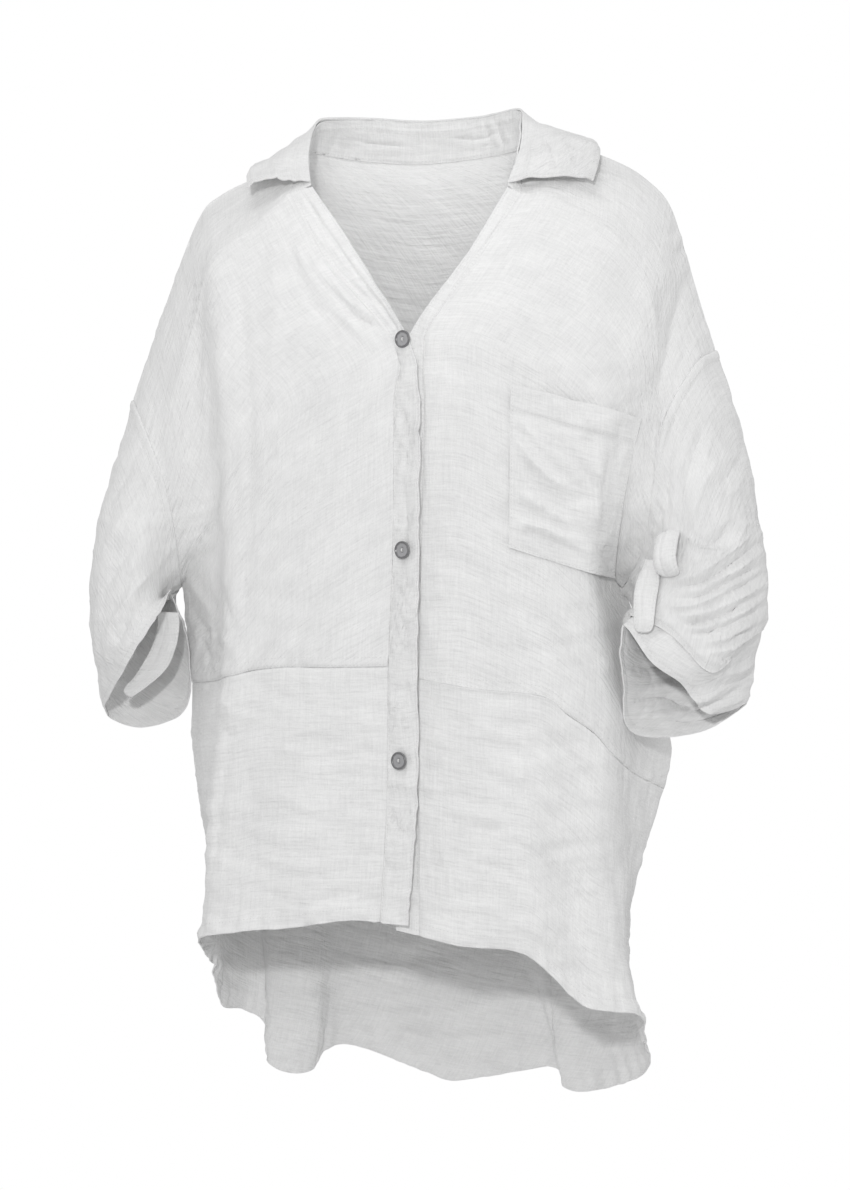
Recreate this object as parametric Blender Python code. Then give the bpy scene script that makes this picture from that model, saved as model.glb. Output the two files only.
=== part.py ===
# A loose button-up shirt, filled out as it is worn, with a high front hem and a long back.
# Every length is in metres. +Z is up, the front faces -Y, and +X is the wearer's left.
# The origin is the middle of the neck base, level with the shoulders that carry the shirt.
# The pattern is a net of seam lines. Each cut piece is a patch between four of them, so two
# pieces that are sewn together share a line and stay SEAM_GAP apart along it.

import math

import bmesh
import bpy
import numpy as np
from mathutils import Vector
from mathutils.bvhtree import BVHTree

# Walls and gaps
CLOTH_WALL = 0.0012
DOUBLED_WALL = 0.0016
SEAM_GAP = 0.0003
MITRE = 0.0004
UNDERARM_EASE = 0.0020
POCKET_GAP = 0.0008
LEAF_GAP = 0.0014
MM = 0.001
SIGHT_FROM = -0.4
SIGHT_ABOVE = 0.2

# How many cells each seam line is divided into
SHOULDER_CELLS = 13
NECK_SIDE_CELLS = 5
BACK_NECK_CELLS = 14
ARMHOLE_CELLS = 12
SIDE_CELLS = 4
SKIRT_CELLS = 8
OPENING_CELLS = ARMHOLE_CELLS + SIDE_CELLS - NECK_SIDE_CELLS
BAND_CELLS = 3
STAND_CELLS = 3
LEAF_CELLS = 6
SLEEVE_CELLS = 4
CUFF_CELLS = 6
POCKET_CELLS = 14
TAB_CELLS = 10

# Buttons, pocket and tabs
BUTTON_RADIUS = 0.0073
BUTTON_THICKNESS = 0.0026
BUTTON_PROFILE = ((0.85, 0.0), (1.0, 0.4), (1.0, 0.75), (0.86, 1.0), (0.68, 0.69))
BUTTON_SEGMENTS = 20
BUTTON_PLACES = ((-0.140, 0.80), (-0.312, 0.46), (-0.483, 0.46))
BUTTON_STAND_OFF = 0.0007
POCKET_PUFF = 0.0035
POCKET_CORNER_LIFT = 0.0020
TAB_WIDTH = 0.020
LEAF_CLEARANCE = 0.0050
LEAF_RISE = 0.006
LEAF_END_SHARE = 0.45
LEAF_FULL_FROM = 0.6
LEAF_ROUNDNESS = 0.8
STEEP_FACE = 0.25
PUFF_START = 0.25
BACK_FULLNESS = 0.015
FRONT_FULLNESS = 3.0
LINE_STEPS = 24

# The neck's curve fades down the back by these powers, sideways and in depth
NECK_FADE_ACROSS = 4
NECK_FADE_DEEP = 6
WAIST_GROWTH = 2

LINEN_WHITE = (0.86, 0.86, 0.855)
BUTTON_GREY = (0.36, 0.36, 0.37)

# Seam lines, each a short row of points (x, y, z) in millimetres, from the neck outward or
# from the top down. "right" and "left" are the wearer's.
SEAM_LINES = {
    "shoulder_right": [(-108, 5, 29), (-143, 8, 13), (-178, 8, -3), (-199, 7, -24),
                       (-226, 4, -94), (-255, 0, -180)],
    "shoulder_left": [(80, 5, 29), (114, 8, 35), (165, 8, 17), (192, 8, -1), (209, 7, -22),
                      (222, 6, -63), (238, 2, -116), (247, 0, -143)],
    "armhole_front_right": [(-255, 0, -180), (-240, -34, -198), (-213, -64, -250),
                            (-204, -60, -290), (-205, -34, -326), (-212, 0, -341)],
    "armhole_front_left": [(247, 0, -143), (232, -38, -158), (208, -70, -208),
                           (199, -68, -271), (185, -38, -320), (168, 0, -344)],
    "armhole_back_right": [(-255, 0, -180), (-240, 40, -198), (-213, 72, -250),
                           (-204, 68, -290), (-205, 38, -326), (-212, 0, -341)],
    "armhole_back_left": [(247, 0, -143), (232, 42, -158), (208, 76, -208),
                          (199, 74, -271), (185, 42, -320), (168, 0, -344)],
    "side_right": [(-212, 0, -341), (-208, 18, -379), (-210, 28, -425)],
    "side_left": [(168, 0, -344), (174, 26, -385), (196, 40, -445), (207, 41, -478),
                  (201, 38, -514)],
    "neck_side_right": [(-108, 5, 29), (-104, -30, 9), (-106, -58, -12)],
    "neck_side_left": [(80, 5, 29), (86, -30, 7), (90, -58, -16)],
    "back_neck": [(-108, 5, 29), (-102, 42, 34), (-79, 58, 31), (-50, 64, 28), (-16, 66, 26),
                  (21, 64, 28), (54, 56, 31), (73, 40, 32), (80, 5, 29)],
    "opening_right": [(-106, -58, -12), (-66, -86, -76), (-9, -108, -144), (-8, -114, -198),
                      (-8, -118, -304), (-12, -118, -407)],
    "opening_left": [(90, -58, -16), (55, -86, -76), (21, -105, -128), (16, -108, -152),
                     (17, -112, -205), (15, -115, -304), (13, -115, -417)],
    "skirt_opening_right": [(-12, -118, -407), (-13, -118, -515), (-19, -116, -615)],
    "skirt_opening_left": [(13, -115, -417), (13, -115, -515), (13, -113, -626)],
    "waist_right": [(-12, -118, -407), (-58, -116, -408), (-99, -106, -408), (-128, -96, -411),
                    (-148, -82, -417), (-182, -35, -422), (-210, 28, -425)],
    "waist_left": [(13, -115, -417), (59, -113, -425), (112, -104, -431), (133, -98, -446),
                   (154, -88, -462), (168, -73, -481), (181, -22, -498), (201, 38, -514)],
    "waist_back": [(-210, 28, -425), (-205, 62, -441), (-163, 95, -468), (-17, 105, -503),
                   (104, 98, -528), (174, 80, -530), (201, 38, -514)],
    "skirt_side_right": [(-210, 28, -425), (-209, 27, -480), (-199, 24, -535), (-187, 18, -590),
                         (-182, 12, -640), (-184, 8, -667)],
    "skirt_side_left": [(201, 38, -514), (189, 34, -550), (176, 24, -595), (171, 12, -640),
                        (177, 2, -685), (186, -5, -724)],
    "hem_right": [(-19, -116, -615), (-45, -114, -614), (-98, -108, -622), (-127, -102, -625),
                  (-158, -94, -630), (-176, -78, -635), (-182, -40, -649), (-184, 8, -667)],
    "hem_left": [(13, -113, -626), (49, -113, -634), (94, -110, -638), (117, -104, -655),
                 (145, -96, -682), (168, -88, -688), (188, -70, -692), (190, -40, -705),
                 (186, -5, -724)],
    "hem_back": [(-184, 8, -667), (-187, 45, -706), (-175, 72, -713), (-155, 76, -726),
                 (-149, 58, -756), (-128, 50, -765), (-106, 55, -762), (-99, 76, -748),
                 (-76, 90, -746), (-16, 95, -768), (11, 93, -775), (69, 95, -766),
                 (98, 94, -762), (107, 80, -776), (132, 76, -779), (176, 55, -763),
                 (187, 30, -746), (186, -5, -724)],
    "roll": [(-87, -62, -5), (-94, -35, 16), (-97, -8, 38), (-97, 30, 59), (-77, 50, 64),
             (-53, 58, 64), (-11, 62, 61), (36, 58, 63), (75, 38, 67), (84, -5, 50),
             (85, -32, 22), (79, -62, -9)],
    "leaf_edge": [(-144, -52, -3), (-152, -10, 14), (-146, 38, 16), (-108, 76, 7),
                  (-17, 90, 0), (79, 79, 8), (134, 40, 27), (148, 6, 33), (152, -24, 17),
                  (149, -46, -4)],
    "lap_right": [(-86, -62, -7), (-54, -85, -51), (-17, -105, -107), (1, -113, -136),
                  (9, -117, -154), (15, -125, -205), (14, -129, -304), (13, -130, -408),
                  (12, -129, -515), (5, -123, -617)],
    "lap_left": [(79, -62, -11), (47, -86, -70), (13, -104, -120), (0, -109, -150),
                 (-4, -112, -205), (-5, -114, -304), (-6, -114, -415), (-6, -114, -515),
                 (-6, -112, -622)],
}


# Sleeve sections below the armhole, from the upper one to the open end. Each row goes once
# round the arm: outer side, front, inner side, back, with a point between each two (x, y, z in
# millimetres).
SLEEVE_SECTIONS = {
    "right": [
        [(-279, 0, -266), (-267, -52, -282), (-232, -78, -308), (-216, -55, -330),
         (-219, -8, -349), (-219, 38, -332), (-234, 64, -304), (-267, 46, -280)],
        [(-288, -5, -353), (-273, -60, -372), (-240, -90, -378), (-219, -72, -355),
         (-219, -24, -350), (-217, 8, -354), (-234, 30, -372), (-266, 28, -370)],
        [(-275, -10, -452), (-258, -62, -429), (-232, -96, -397), (-213, -86, -362),
         (-216, -34, -342), (-208, -8, -385), (-210, -4, -444), (-246, 6, -463)],
    ],
    "left": [
        [(273, 0, -231), (258, -56, -250), (232, -84, -288), (205, -64, -322),
         (182, -16, -352), (193, 36, -330), (225, 62, -290), (258, 48, -254)],
        [(288, -5, -319), (276, -64, -336), (242, -98, -350), (206, -86, -346),
         (179, -48, -356), (184, -12, -361), (216, 20, -362), (262, 26, -343)],
        [(288, -12, -378), (280, -62, -386), (252, -98, -411), (218, -102, -379),
         (181, -78, -361), (178, -62, -390), (202, -30, -409), (254, -8, -405)],
    ],
}
CUFF_END = [(274, -14, -439), (247, -60, -447), (224, -92, -421), (200, -98, -402),
            (175, -84, -371), (174, -72, -422), (181, -58, -462), (232, -22, -463)]
CUFF_START_INSET = 0.0017
CUFF_INSET = 0.0055

# The pocket's corners on the front (x, z). The roll tabs: which way each faces (x, y, z) and its
# middle line (x, y, z)
POCKET_CORNERS = {"top_inner": (87, -177), "top_outer": (189, -204),
                  "bottom_inner": (86, -310), "bottom_outer": (162, -335)}
TABS = {
    "tab_right": ((0, -1, 0), [(-214, -52, -351.2), (-211, -46, -372), (-219, -42, -398),
                               (-236, -40, -420), (-252, -38, -434)]),
    "tab_left": ((-0.15, -0.99, 0), [(199.7, -70, -320), (197.2, -81.5, -336),
                                     (195.5, -89, -352.7), (195, -96, -367.6),
                                     (194.7, -98, -379)]),
    "tab_loop": ((-0.55, -0.835, 0), [(216, -78, -299), (213.5, -88, -303),
                                      (212, -95, -314), (213, -97, -324),
                                      (216.5, -89, -333)]),
}

# Largest folds: points (x, z) along the fold in millimetres, half width, height out of the
# cloth (negative is a trough), and the side that it is on
FOLDS = (
    ("front", [(-172, -60), (-152, -190), (-146, -330), (-148, -430), (-160, -520),
               (-170, -620)], 13, 8),
    ("front", [(-190, -80), (-180, -200), (-176, -330), (-178, -420)], 15, -7),
    ("front", [(206, -60), (200, -120), (198, -145), (188, -190)], 12, 5),
    ("front", [(150, -100), (158, -200), (152, -300), (160, -400)], 16, 4),
    ("front", [(158, -470), (163, -560), (172, -640)], 14, 6),
    ("front", [(60, -450), (90, -540), (110, -650)], 18, 4),
    ("front", [(128, -480), (136, -580), (140, -690)], 13, -4),
    ("front", [(-90, -430), (-84, -520), (-92, -620)], 20, 3),
    ("back", [(-110, -60), (-100, -220), (-118, -420), (-128, -600)], 22, 6),
    ("back", [(-40, -90), (-52, -280), (-40, -480), (-52, -640)], 20, -5),
    ("back", [(60, -70), (72, -260), (58, -470), (70, -650)], 22, 6),
    ("back", [(120, -120), (128, -300), (118, -520)], 20, -5),
)
FOLD_TURN = 0.03
FOLD_CELLS = 20
FOLD_END_SHARE = 0.3
FOLD_FULL_FROM = 0.25

# A middle of the body, for telling out from in: its place across, and how far it stays below
BODY_MIDDLE_X = -0.01
BODY_MIDDLE_SHARE = 0.9
BODY_MIDDLE_DROP = 0.02


def clear_scene():
    for thing in list(bpy.data.objects):
        bpy.data.objects.remove(thing, do_unlink=True)


def cloth_material(name, colour, roughness):
    material = bpy.data.materials.new(name)
    material.use_nodes = True
    shader = material.node_tree.nodes["Principled BSDF"]
    shader.inputs["Base Color"].default_value = (*colour, 1.0)
    shader.inputs["Roughness"].default_value = roughness
    shader.inputs["Metallic"].default_value = 0.0
    return material


# A smooth line through its points, read at fractions of its length
def smooth_line(points, cells):
    knots = np.array(points, float)
    ahead = 2 * knots[-1] - knots[-2]
    behind = 2 * knots[0] - knots[1]
    padded = np.vstack([behind, knots, ahead])
    fine = []
    for index in range(1, len(padded) - 2):
        before, first, second, after = padded[index - 1:index + 3]
        for step in np.linspace(0, 1, LINE_STEPS, endpoint=False):
            fine.append(0.5 * (2 * first + (second - before) * step
                               + (2 * before - 5 * first + 4 * second - after) * step ** 2
                               + (3 * first - before - 3 * second + after) * step ** 3))
    fine.append(knots[-1])
    fine = np.array(fine)
    run = np.concatenate([[0], np.cumsum(np.linalg.norm(np.diff(fine, axis=0), axis=1))])
    wanted = np.linspace(0, 1, cells + 1) * run[-1]
    return np.column_stack([np.interp(wanted, run, fine[:, axis]) for axis in range(3)])


def seam(name, cells):
    return smooth_line(SEAM_LINES[name], cells) * MM


def join_lines(*lines):
    return np.vstack([lines[0]] + [line[1:] for line in lines[1:]])


# A patch between four lines. The depth follows a rounded section from the inner line to the
# outer one, so the front stays full and turns at the side.
def patch(top, bottom, inner, outer, fullness=1.0):
    across = np.linspace(0, 1, len(top))[None, :, None]
    fall = np.linspace(0, 1, len(inner))[:, None, None]
    share = np.concatenate([across, across ** fullness, across], axis=2)
    corner_top = (1 - share) * top[0] + share * top[-1]
    corner_bottom = (1 - share) * bottom[0] + share * bottom[-1]
    ruled = (1 - share) * inner[:, None, :] + share * outer[:, None, :]
    return ruled + (1 - fall) * (top[None] - corner_top) + fall * (bottom[None] - corner_bottom)


# The back between its four lines. The neck's curve settles soon below it, and the armholes
# draw in only the sides.
def back_patch(top, bottom, right, left):
    across = np.linspace(0, 1, len(top))[None, :, None]
    fall = np.linspace(0, 1, len(right))[:, None, None]
    middle = np.sqrt(4 * across * (1 - across))
    straight_right = (1 - fall) * right[0] + fall * right[-1]
    straight_left = (1 - fall) * left[0] + fall * left[-1]
    edges = (1 - across) * right[:, None, :] + across * left[:, None, :]
    calm = (1 - across) * straight_right + across * straight_left
    ruled = edges.copy()
    ruled[..., 1:2] = (1 - middle) * edges[..., 1:2] + middle * calm[..., 1:2]
    corner_top = (1 - across) * top[0] + across * top[-1]
    corner_bottom = (1 - across) * bottom[0] + across * bottom[-1]
    fading = np.concatenate([(1 - fall) ** NECK_FADE_ACROSS, (1 - fall) ** NECK_FADE_DEEP,
                             1 - fall], axis=2)
    growing = np.concatenate([fall, 1 - (1 - fall) ** WAIST_GROWTH, fall], axis=2)
    grid = ruled + fading * (top[None] - corner_top) + growing * (bottom[None] - corner_bottom)
    grid[..., 1:2] += BACK_FULLNESS * middle * np.sin(np.pi * fall)
    return grid


# The net: every piece's outer surface as a grid of points, rows down and columns across
def build_net():
    shoulder_right = seam("shoulder_right", SHOULDER_CELLS)
    shoulder_left = seam("shoulder_left", SHOULDER_CELLS)
    side_right = seam("side_right", SIDE_CELLS)
    side_left = seam("side_left", SIDE_CELLS)
    neck_right = seam("neck_side_right", NECK_SIDE_CELLS)
    neck_left = seam("neck_side_left", NECK_SIDE_CELLS)
    back_neck = seam("back_neck", BACK_NECK_CELLS)
    opening_right = seam("opening_right", OPENING_CELLS)
    opening_left = seam("opening_left", OPENING_CELLS)
    skirt_opening_right = seam("skirt_opening_right", SKIRT_CELLS)
    skirt_opening_left = seam("skirt_opening_left", SKIRT_CELLS)
    armholes = {name: seam(f"armhole_{name}", ARMHOLE_CELLS)
                for name in ("front_right", "front_left", "back_right", "back_left")}
    waist_right = seam("waist_right", SHOULDER_CELLS)
    waist_left = seam("waist_left", SHOULDER_CELLS)
    back_cells = 2 * SHOULDER_CELLS + BACK_NECK_CELLS
    waist_back = seam("waist_back", back_cells)
    skirt_side_right = seam("skirt_side_right", SKIRT_CELLS)
    skirt_side_left = seam("skirt_side_left", SKIRT_CELLS)
    back_top = join_lines(shoulder_right[::-1], back_neck, shoulder_left)
    net = {}
    net["front_right_upper"] = patch(
        shoulder_right, waist_right, join_lines(neck_right, opening_right),
        join_lines(armholes["front_right"], side_right), fullness=FRONT_FULLNESS)
    net["front_left_upper"] = patch(
        shoulder_left, waist_left, join_lines(neck_left, opening_left),
        join_lines(armholes["front_left"], side_left), fullness=FRONT_FULLNESS)
    net["front_right_lower"] = patch(
        waist_right, seam("hem_right", SHOULDER_CELLS), skirt_opening_right, skirt_side_right)
    net["front_left_lower"] = patch(
        waist_left, seam("hem_left", SHOULDER_CELLS), skirt_opening_left, skirt_side_left)
    net["back_upper"] = back_patch(
        back_top, waist_back, join_lines(armholes["back_right"], side_right),
        join_lines(armholes["back_left"], side_left))
    net["back_lower"] = patch(
        waist_back, seam("hem_back", back_cells), skirt_side_right, skirt_side_left)
    band_line_right = join_lines(opening_right, skirt_opening_right)
    band_line_left = join_lines(opening_left, skirt_opening_left)
    band_cells = len(band_line_right) - 1
    net["band_right"] = strip(band_line_right, seam("lap_right", band_cells), BAND_CELLS)
    net["band_left"] = strip(band_line_left, seam("lap_left", band_cells), BAND_CELLS)
    neck_line = join_lines(neck_right[::-1], back_neck, neck_left)
    roll = seam("roll", len(neck_line) - 1)
    net["collar_stand"] = strip(neck_line, roll, STAND_CELLS)
    net["collar_leaf"] = leaf_grid(roll, seam("leaf_edge", len(neck_line) - 1))
    for side in ("right", "left"):
        armhole = join_lines(armholes[f"front_{side}"], armholes[f"back_{side}"][::-1])
        sections = [section_ring(row) for row in SLEEVE_SECTIONS[side]]
        net[f"sleeve_{side}"] = loft([armhole] + sections, SLEEVE_CELLS)
    net["cuff_left"] = cuff_grid(net["sleeve_left"], section_ring(CUFF_END))
    return net


# Straight rows from one line to another, side by side
def strip(first, second, cells):
    share = np.linspace(0, 1, cells + 1)[None, :, None]
    return (1 - share) * first[:, None, :] + share * second[:, None, :]


# The leaf rises over the roll before it falls to its edge, less at its two front ends
def leaf_grid(roll, edge):
    grid = strip(roll, edge, LEAF_CELLS)
    grid[..., 2] += (DOUBLED_WALL + LEAF_GAP) * np.linspace(1, 0, LEAF_CELLS + 1)
    share = np.linspace(0, 1, LEAF_CELLS + 1)[None, :]
    along = np.linspace(0, 1, len(roll))[:, None]
    fullness = np.minimum(1, np.sin(np.pi * along) / LEAF_FULL_FROM)
    rise = LEAF_RISE * (LEAF_END_SHARE + (1 - LEAF_END_SHARE) * fullness)
    grid[..., 2] += rise * np.sin(np.pi * share) ** LEAF_ROUNDNESS
    return grid


# A closed smooth ring through one section's points, with the first point repeated at the end
def section_ring(points):
    knots = np.array(points, float) * MM
    cells = 2 * ARMHOLE_CELLS // len(knots)
    ring = []
    for index in range(len(knots)):
        before, first, second, after = (knots[(index + shift) % len(knots)]
                                        for shift in (-1, 0, 1, 2))
        for step in np.linspace(0, 1, cells, endpoint=False):
            ring.append(0.5 * (2 * first + (second - before) * step
                               + (2 * before - 5 * first + 4 * second - after) * step ** 2
                               + (3 * first - before - 3 * second + after) * step ** 3))
    ring.append(ring[0])
    return np.array(ring)


# Rows that pass smoothly through the rings, column by column
def loft(rings, cells):
    columns = [smooth_line([ring[index] for ring in rings], cells * (len(rings) - 1))
               for index in range(len(rings[0]))]
    return np.stack(columns, axis=1)


# The cuff starts inside the sleeve's end and comes out below it
def cuff_grid(sleeve, cuff_end):
    def inset(ring, depth):
        outward = ring - ring[:-1].mean(axis=0)
        return ring - depth * outward / np.linalg.norm(outward, axis=1)[:, None]

    rings = [inset(sleeve[-3], CUFF_START_INSET), inset(sleeve[-1], CUFF_INSET), cuff_end]
    return loft(rings, CUFF_CELLS // 2)


# Folds: how far a point of the front or back moves out, from its place along each fold
def fold_height(point):
    total = 0.0
    for side, line, half_width, height in FOLDS:
        turn = (FOLD_TURN - point[1]) / (2 * FOLD_TURN)
        weight = min(max(turn if side == "front" else 1 - turn, 0.0), 1.0)
        if weight == 0.0:
            continue
        path = smooth_line([(x, 0, z) for x, z in line], FOLD_CELLS) * MM
        gap = np.hypot(path[:, 0] - point[0], path[:, 2] - point[2])
        nearest = gap.argmin()
        ends = min(nearest, len(path) - 1 - nearest) / (len(path) - 1)
        fade = min(1.0, FOLD_END_SHARE + ends / FOLD_FULL_FROM)
        total += weight * fade * height * MM * math.exp(-(gap[nearest] / (half_width * MM)) ** 2)
    return total


def face_directions(grid):
    return np.cross(grid[1:, 1:] - grid[:-1, :-1], grid[:-1, 1:] - grid[1:, :-1])


# Out of the cloth means away from the middle of the body, or of the sleeve
def points_outward(name, grid, cells):
    centres = (grid[:-1, :-1] + grid[1:, 1:]) / 2
    if name.startswith(("sleeve", "cuff")):
        middle = centres.mean(axis=1, keepdims=True)
    else:
        middle = np.zeros_like(centres)
        middle[..., 0] = BODY_MIDDLE_X
        middle[..., 2] = centres[..., 2] * BODY_MIDDLE_SHARE - BODY_MIDDLE_DROP
    return ((centres - middle) * cells).sum() > 0


# Directions that point out of the cloth, shared where pieces meet. At the underarm, where the
# body and the sleeve face each other, out is straight down.
def outward_directions(net):
    shared = {}
    for name, grid in net.items():
        cells = face_directions(grid)
        if not points_outward(name, grid, cells):
            cells = -cells
        rows, columns = grid.shape[:2]
        for row in range(rows):
            for column in range(columns):
                key = tuple(np.round(grid[row, column], 6))
                near = cells[max(row - 1, 0):row + 1, max(column - 1, 0):column + 1]
                shared[key] = shared.get(key, 0) + near.sum(axis=(0, 1))
    for side in ("right", "left"):
        underarm = tuple(np.round(net[f"sleeve_{side}"][0, ARMHOLE_CELLS], 6))
        shared[underarm] = np.array([0.0, 0.0, -1.0])
    directions = {}
    for name, grid in net.items():
        flat = np.array([shared[tuple(np.round(point, 6))] for point in grid.reshape(-1, 3)])
        flat /= np.linalg.norm(flat, axis=1)[:, None]
        directions[name] = flat.reshape(grid.shape)
    return directions


def add_folds(net, directions):
    for name, grid in net.items():
        if name.startswith(("front", "back", "band", "sleeve")):
            heights = np.array([fold_height(point) for point in grid.reshape(-1, 3)])
            grid += directions[name] * heights.reshape(grid.shape[:2])[..., None]


def pull(edge, inside, gap):
    step = inside - edge
    return edge + step * gap / np.linalg.norm(step, axis=-1, keepdims=True)


# Where body and sleeve meet at the underarm, each corner stands back a little further
def ease_underarm(name, grid):
    if name.startswith("sleeve"):
        here, beside = (0, ARMHOLE_CELLS), (1, ARMHOLE_CELLS)
        grid[here] = pull(grid[here], grid[beside], UNDERARM_EASE)
    if name.endswith("upper"):
        if name != "back_upper":
            columns = ((-1, -2),)
        else:
            columns = ((0, 1), (-1, -2))
        for column, beside in columns:
            corner = grid[ARMHOLE_CELLS, column]
            grid[ARMHOLE_CELLS, column] = pull(corner, grid[ARMHOLE_CELLS, beside], UNDERARM_EASE)
    return grid


def trim_edges(grid, gap, closed=False):
    trimmed = grid.copy()
    trimmed[0] = pull(grid[0], grid[1], gap)
    trimmed[-1] = pull(grid[-1], grid[-2], gap)
    if not closed:
        trimmed[:, 0] = pull(trimmed[:, 0], trimmed[:, 1], gap)
        trimmed[:, -1] = pull(trimmed[:, -1], trimmed[:, -2], gap)
    return trimmed


def make_object(name, points, faces, material):
    mesh = bpy.data.meshes.new(name)
    mesh.from_pydata([tuple(point) for point in points], [], faces)
    mesh.materials.append(material)
    body = bmesh.new()
    body.from_mesh(mesh)
    bmesh.ops.recalc_face_normals(body, faces=body.faces)
    bmesh.ops.triangulate(body, faces=body.faces)
    body.to_mesh(mesh)
    body.free()
    mesh.shade_smooth()
    thing = bpy.data.objects.new(name, mesh)
    bpy.context.scene.collection.objects.link(thing)
    return thing


# A closed wall: the outer grid, the same grid moved in, and a rim around the edge
def wall(name, outer, inner, material):
    rows, columns = outer.shape[:2]
    count = rows * columns
    points = np.vstack([outer.reshape(-1, 3), inner.reshape(-1, 3)])
    faces = []
    for row in range(rows - 1):
        for column in range(columns - 1):
            corner = row * columns + column
            cell = (corner, corner + 1, corner + columns + 1, corner + columns)
            faces.append(cell)
            faces.append(tuple(count + index for index in reversed(cell)))
    rim = ([column for column in range(columns - 1)]
           + [row * columns + columns - 1 for row in range(rows - 1)]
           + [(rows - 1) * columns + column for column in range(columns - 1, 0, -1)]
           + [row * columns for row in range(rows - 1, 0, -1)])
    for here, there in zip(rim, rim[1:] + rim[:1]):
        faces.append((there, here, count + here, count + there))
    return make_object(name, points, faces, material)


# A closed wall around a tube that is open at both ends
def tube_wall(name, outer, inner, material):
    rows, columns = outer.shape[0], outer.shape[1] - 1
    count = rows * columns
    points = np.vstack([outer[:, :-1].reshape(-1, 3), inner[:, :-1].reshape(-1, 3)])
    faces = []
    for column in range(columns):
        beside = (column + 1) % columns
        for row in range(rows - 1):
            cell = (row * columns + column, row * columns + beside,
                    (row + 1) * columns + beside, (row + 1) * columns + column)
            faces.append(cell)
            faces.append(tuple(count + index for index in reversed(cell)))
        last = (rows - 1) * columns
        faces.append((beside, column, count + column, count + beside))
        faces.append((last + column, last + beside, count + last + beside, count + last + column))
    return make_object(name, points, faces, material)


def surface_tree(*grids):
    points, faces = [], []
    for grid in grids:
        rows, columns = grid.shape[:2]
        first = len(points)
        points += [Vector(point) for point in grid.reshape(-1, 3)]
        for row in range(rows - 1):
            for column in range(columns - 1):
                corner = first + row * columns + column
                faces.append((corner, corner + columns, corner + columns + 1, corner + 1))
    return BVHTree.FromPolygons(points, faces)


# The leaf lies over the shoulders: points that come too near move out of the cloth
def lift_clear(grid, below, clearance):
    tree = surface_tree(*below)
    for row in range(grid.shape[0]):
        for column in range(1, grid.shape[1]):
            point = Vector(grid[row, column])
            above = tree.ray_cast(point + Vector((0, 0, SIGHT_ABOVE)), Vector((0, 0, -1)))
            if above[0] is not None and abs(above[1].z) > STEEP_FACE:
                lowest = above[0].z + clearance / abs(above[1].z)
                grid[row, column, 2] = max(grid[row, column, 2], lowest)


# The pocket is the front's own surface, moved out, with a slack belly
def pocket_grid(front):
    tree = surface_tree(front)
    corners = {name: np.array(place) * MM for name, place in POCKET_CORNERS.items()}
    grid = np.zeros((POCKET_CELLS + 1, POCKET_CELLS + 1, 3))
    lift = np.zeros_like(grid)
    for row, down in enumerate(np.linspace(0, 1, POCKET_CELLS + 1)):
        for column, across in enumerate(np.linspace(0, 1, POCKET_CELLS + 1)):
            top = (1 - across) * corners["top_inner"] + across * corners["top_outer"]
            bottom = (1 - across) * corners["bottom_inner"] + across * corners["bottom_outer"]
            x, z = (1 - down) * top + down * bottom
            sight = Vector((x, SIGHT_FROM, z))
            place, normal, _, _ = tree.ray_cast(sight, Vector((0, 1, 0)))
            normal = normal if normal.y < 0 else -normal
            slack = math.sin(math.pi * (PUFF_START + (1 - PUFF_START) * down))
            puff = POCKET_PUFF * math.sin(math.pi * across) * slack
            corner = POCKET_CORNER_LIFT * (across * down) ** 3
            grid[row, column] = place + normal * (POCKET_GAP + puff + corner)
            lift[row, column] = normal
    return grid, lift


# A flat strap along its middle line, with the way that it faces
def tab_grid(facing, points):
    line = smooth_line(points, TAB_CELLS) * MM
    along = np.gradient(line, axis=0)
    along /= np.linalg.norm(along, axis=1)[:, None]
    across = np.cross(along, facing)
    across /= np.linalg.norm(across, axis=1)[:, None]
    half = across * TAB_WIDTH / 2
    return np.stack([line - half, line, line + half], axis=1), np.cross(across, along)[:, None, :]


def point_at_height(line, height):
    order = np.argsort(line[:, 2])
    return np.array([np.interp(height, line[order, 2], line[order, axis]) for axis in range(3)])


# A button: a turned disc with a raised rim, sitting on the lap
def add_button(name, lap, height, share, material):
    inner_edge = point_at_height(lap[:, 0], height)
    outer_edge = point_at_height(lap[:, -1], height)
    place = inner_edge + (outer_edge - inner_edge) * share
    slope = outer_edge - inner_edge
    facing = Vector((slope[1], -slope[0], 0)).normalized()
    body = bmesh.new()
    rings = []
    for width, depth in BUTTON_PROFILE:
        rings.append([body.verts.new((BUTTON_RADIUS * width * math.cos(turn),
                                      BUTTON_RADIUS * width * math.sin(turn),
                                      BUTTON_THICKNESS * depth))
                      for turn in np.linspace(0, 2 * math.pi, BUTTON_SEGMENTS, endpoint=False)])
    body.faces.new(rings[0][::-1])
    body.faces.new(rings[-1])
    for lower, upper in zip(rings, rings[1:]):
        for step in range(BUTTON_SEGMENTS):
            beside = (step + 1) % BUTTON_SEGMENTS
            body.faces.new((lower[step], lower[beside], upper[beside], upper[step]))
    bmesh.ops.recalc_face_normals(body, faces=body.faces)
    mesh = bpy.data.meshes.new(name)
    body.to_mesh(mesh)
    body.free()
    mesh.materials.append(material)
    mesh.shade_smooth()
    button = bpy.data.objects.new(name, mesh)
    button.rotation_euler = facing.to_track_quat("Z", "Y").to_euler()
    button.location = Vector(place) + facing * BUTTON_STAND_OFF
    bpy.context.scene.collection.objects.link(button)


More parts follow.
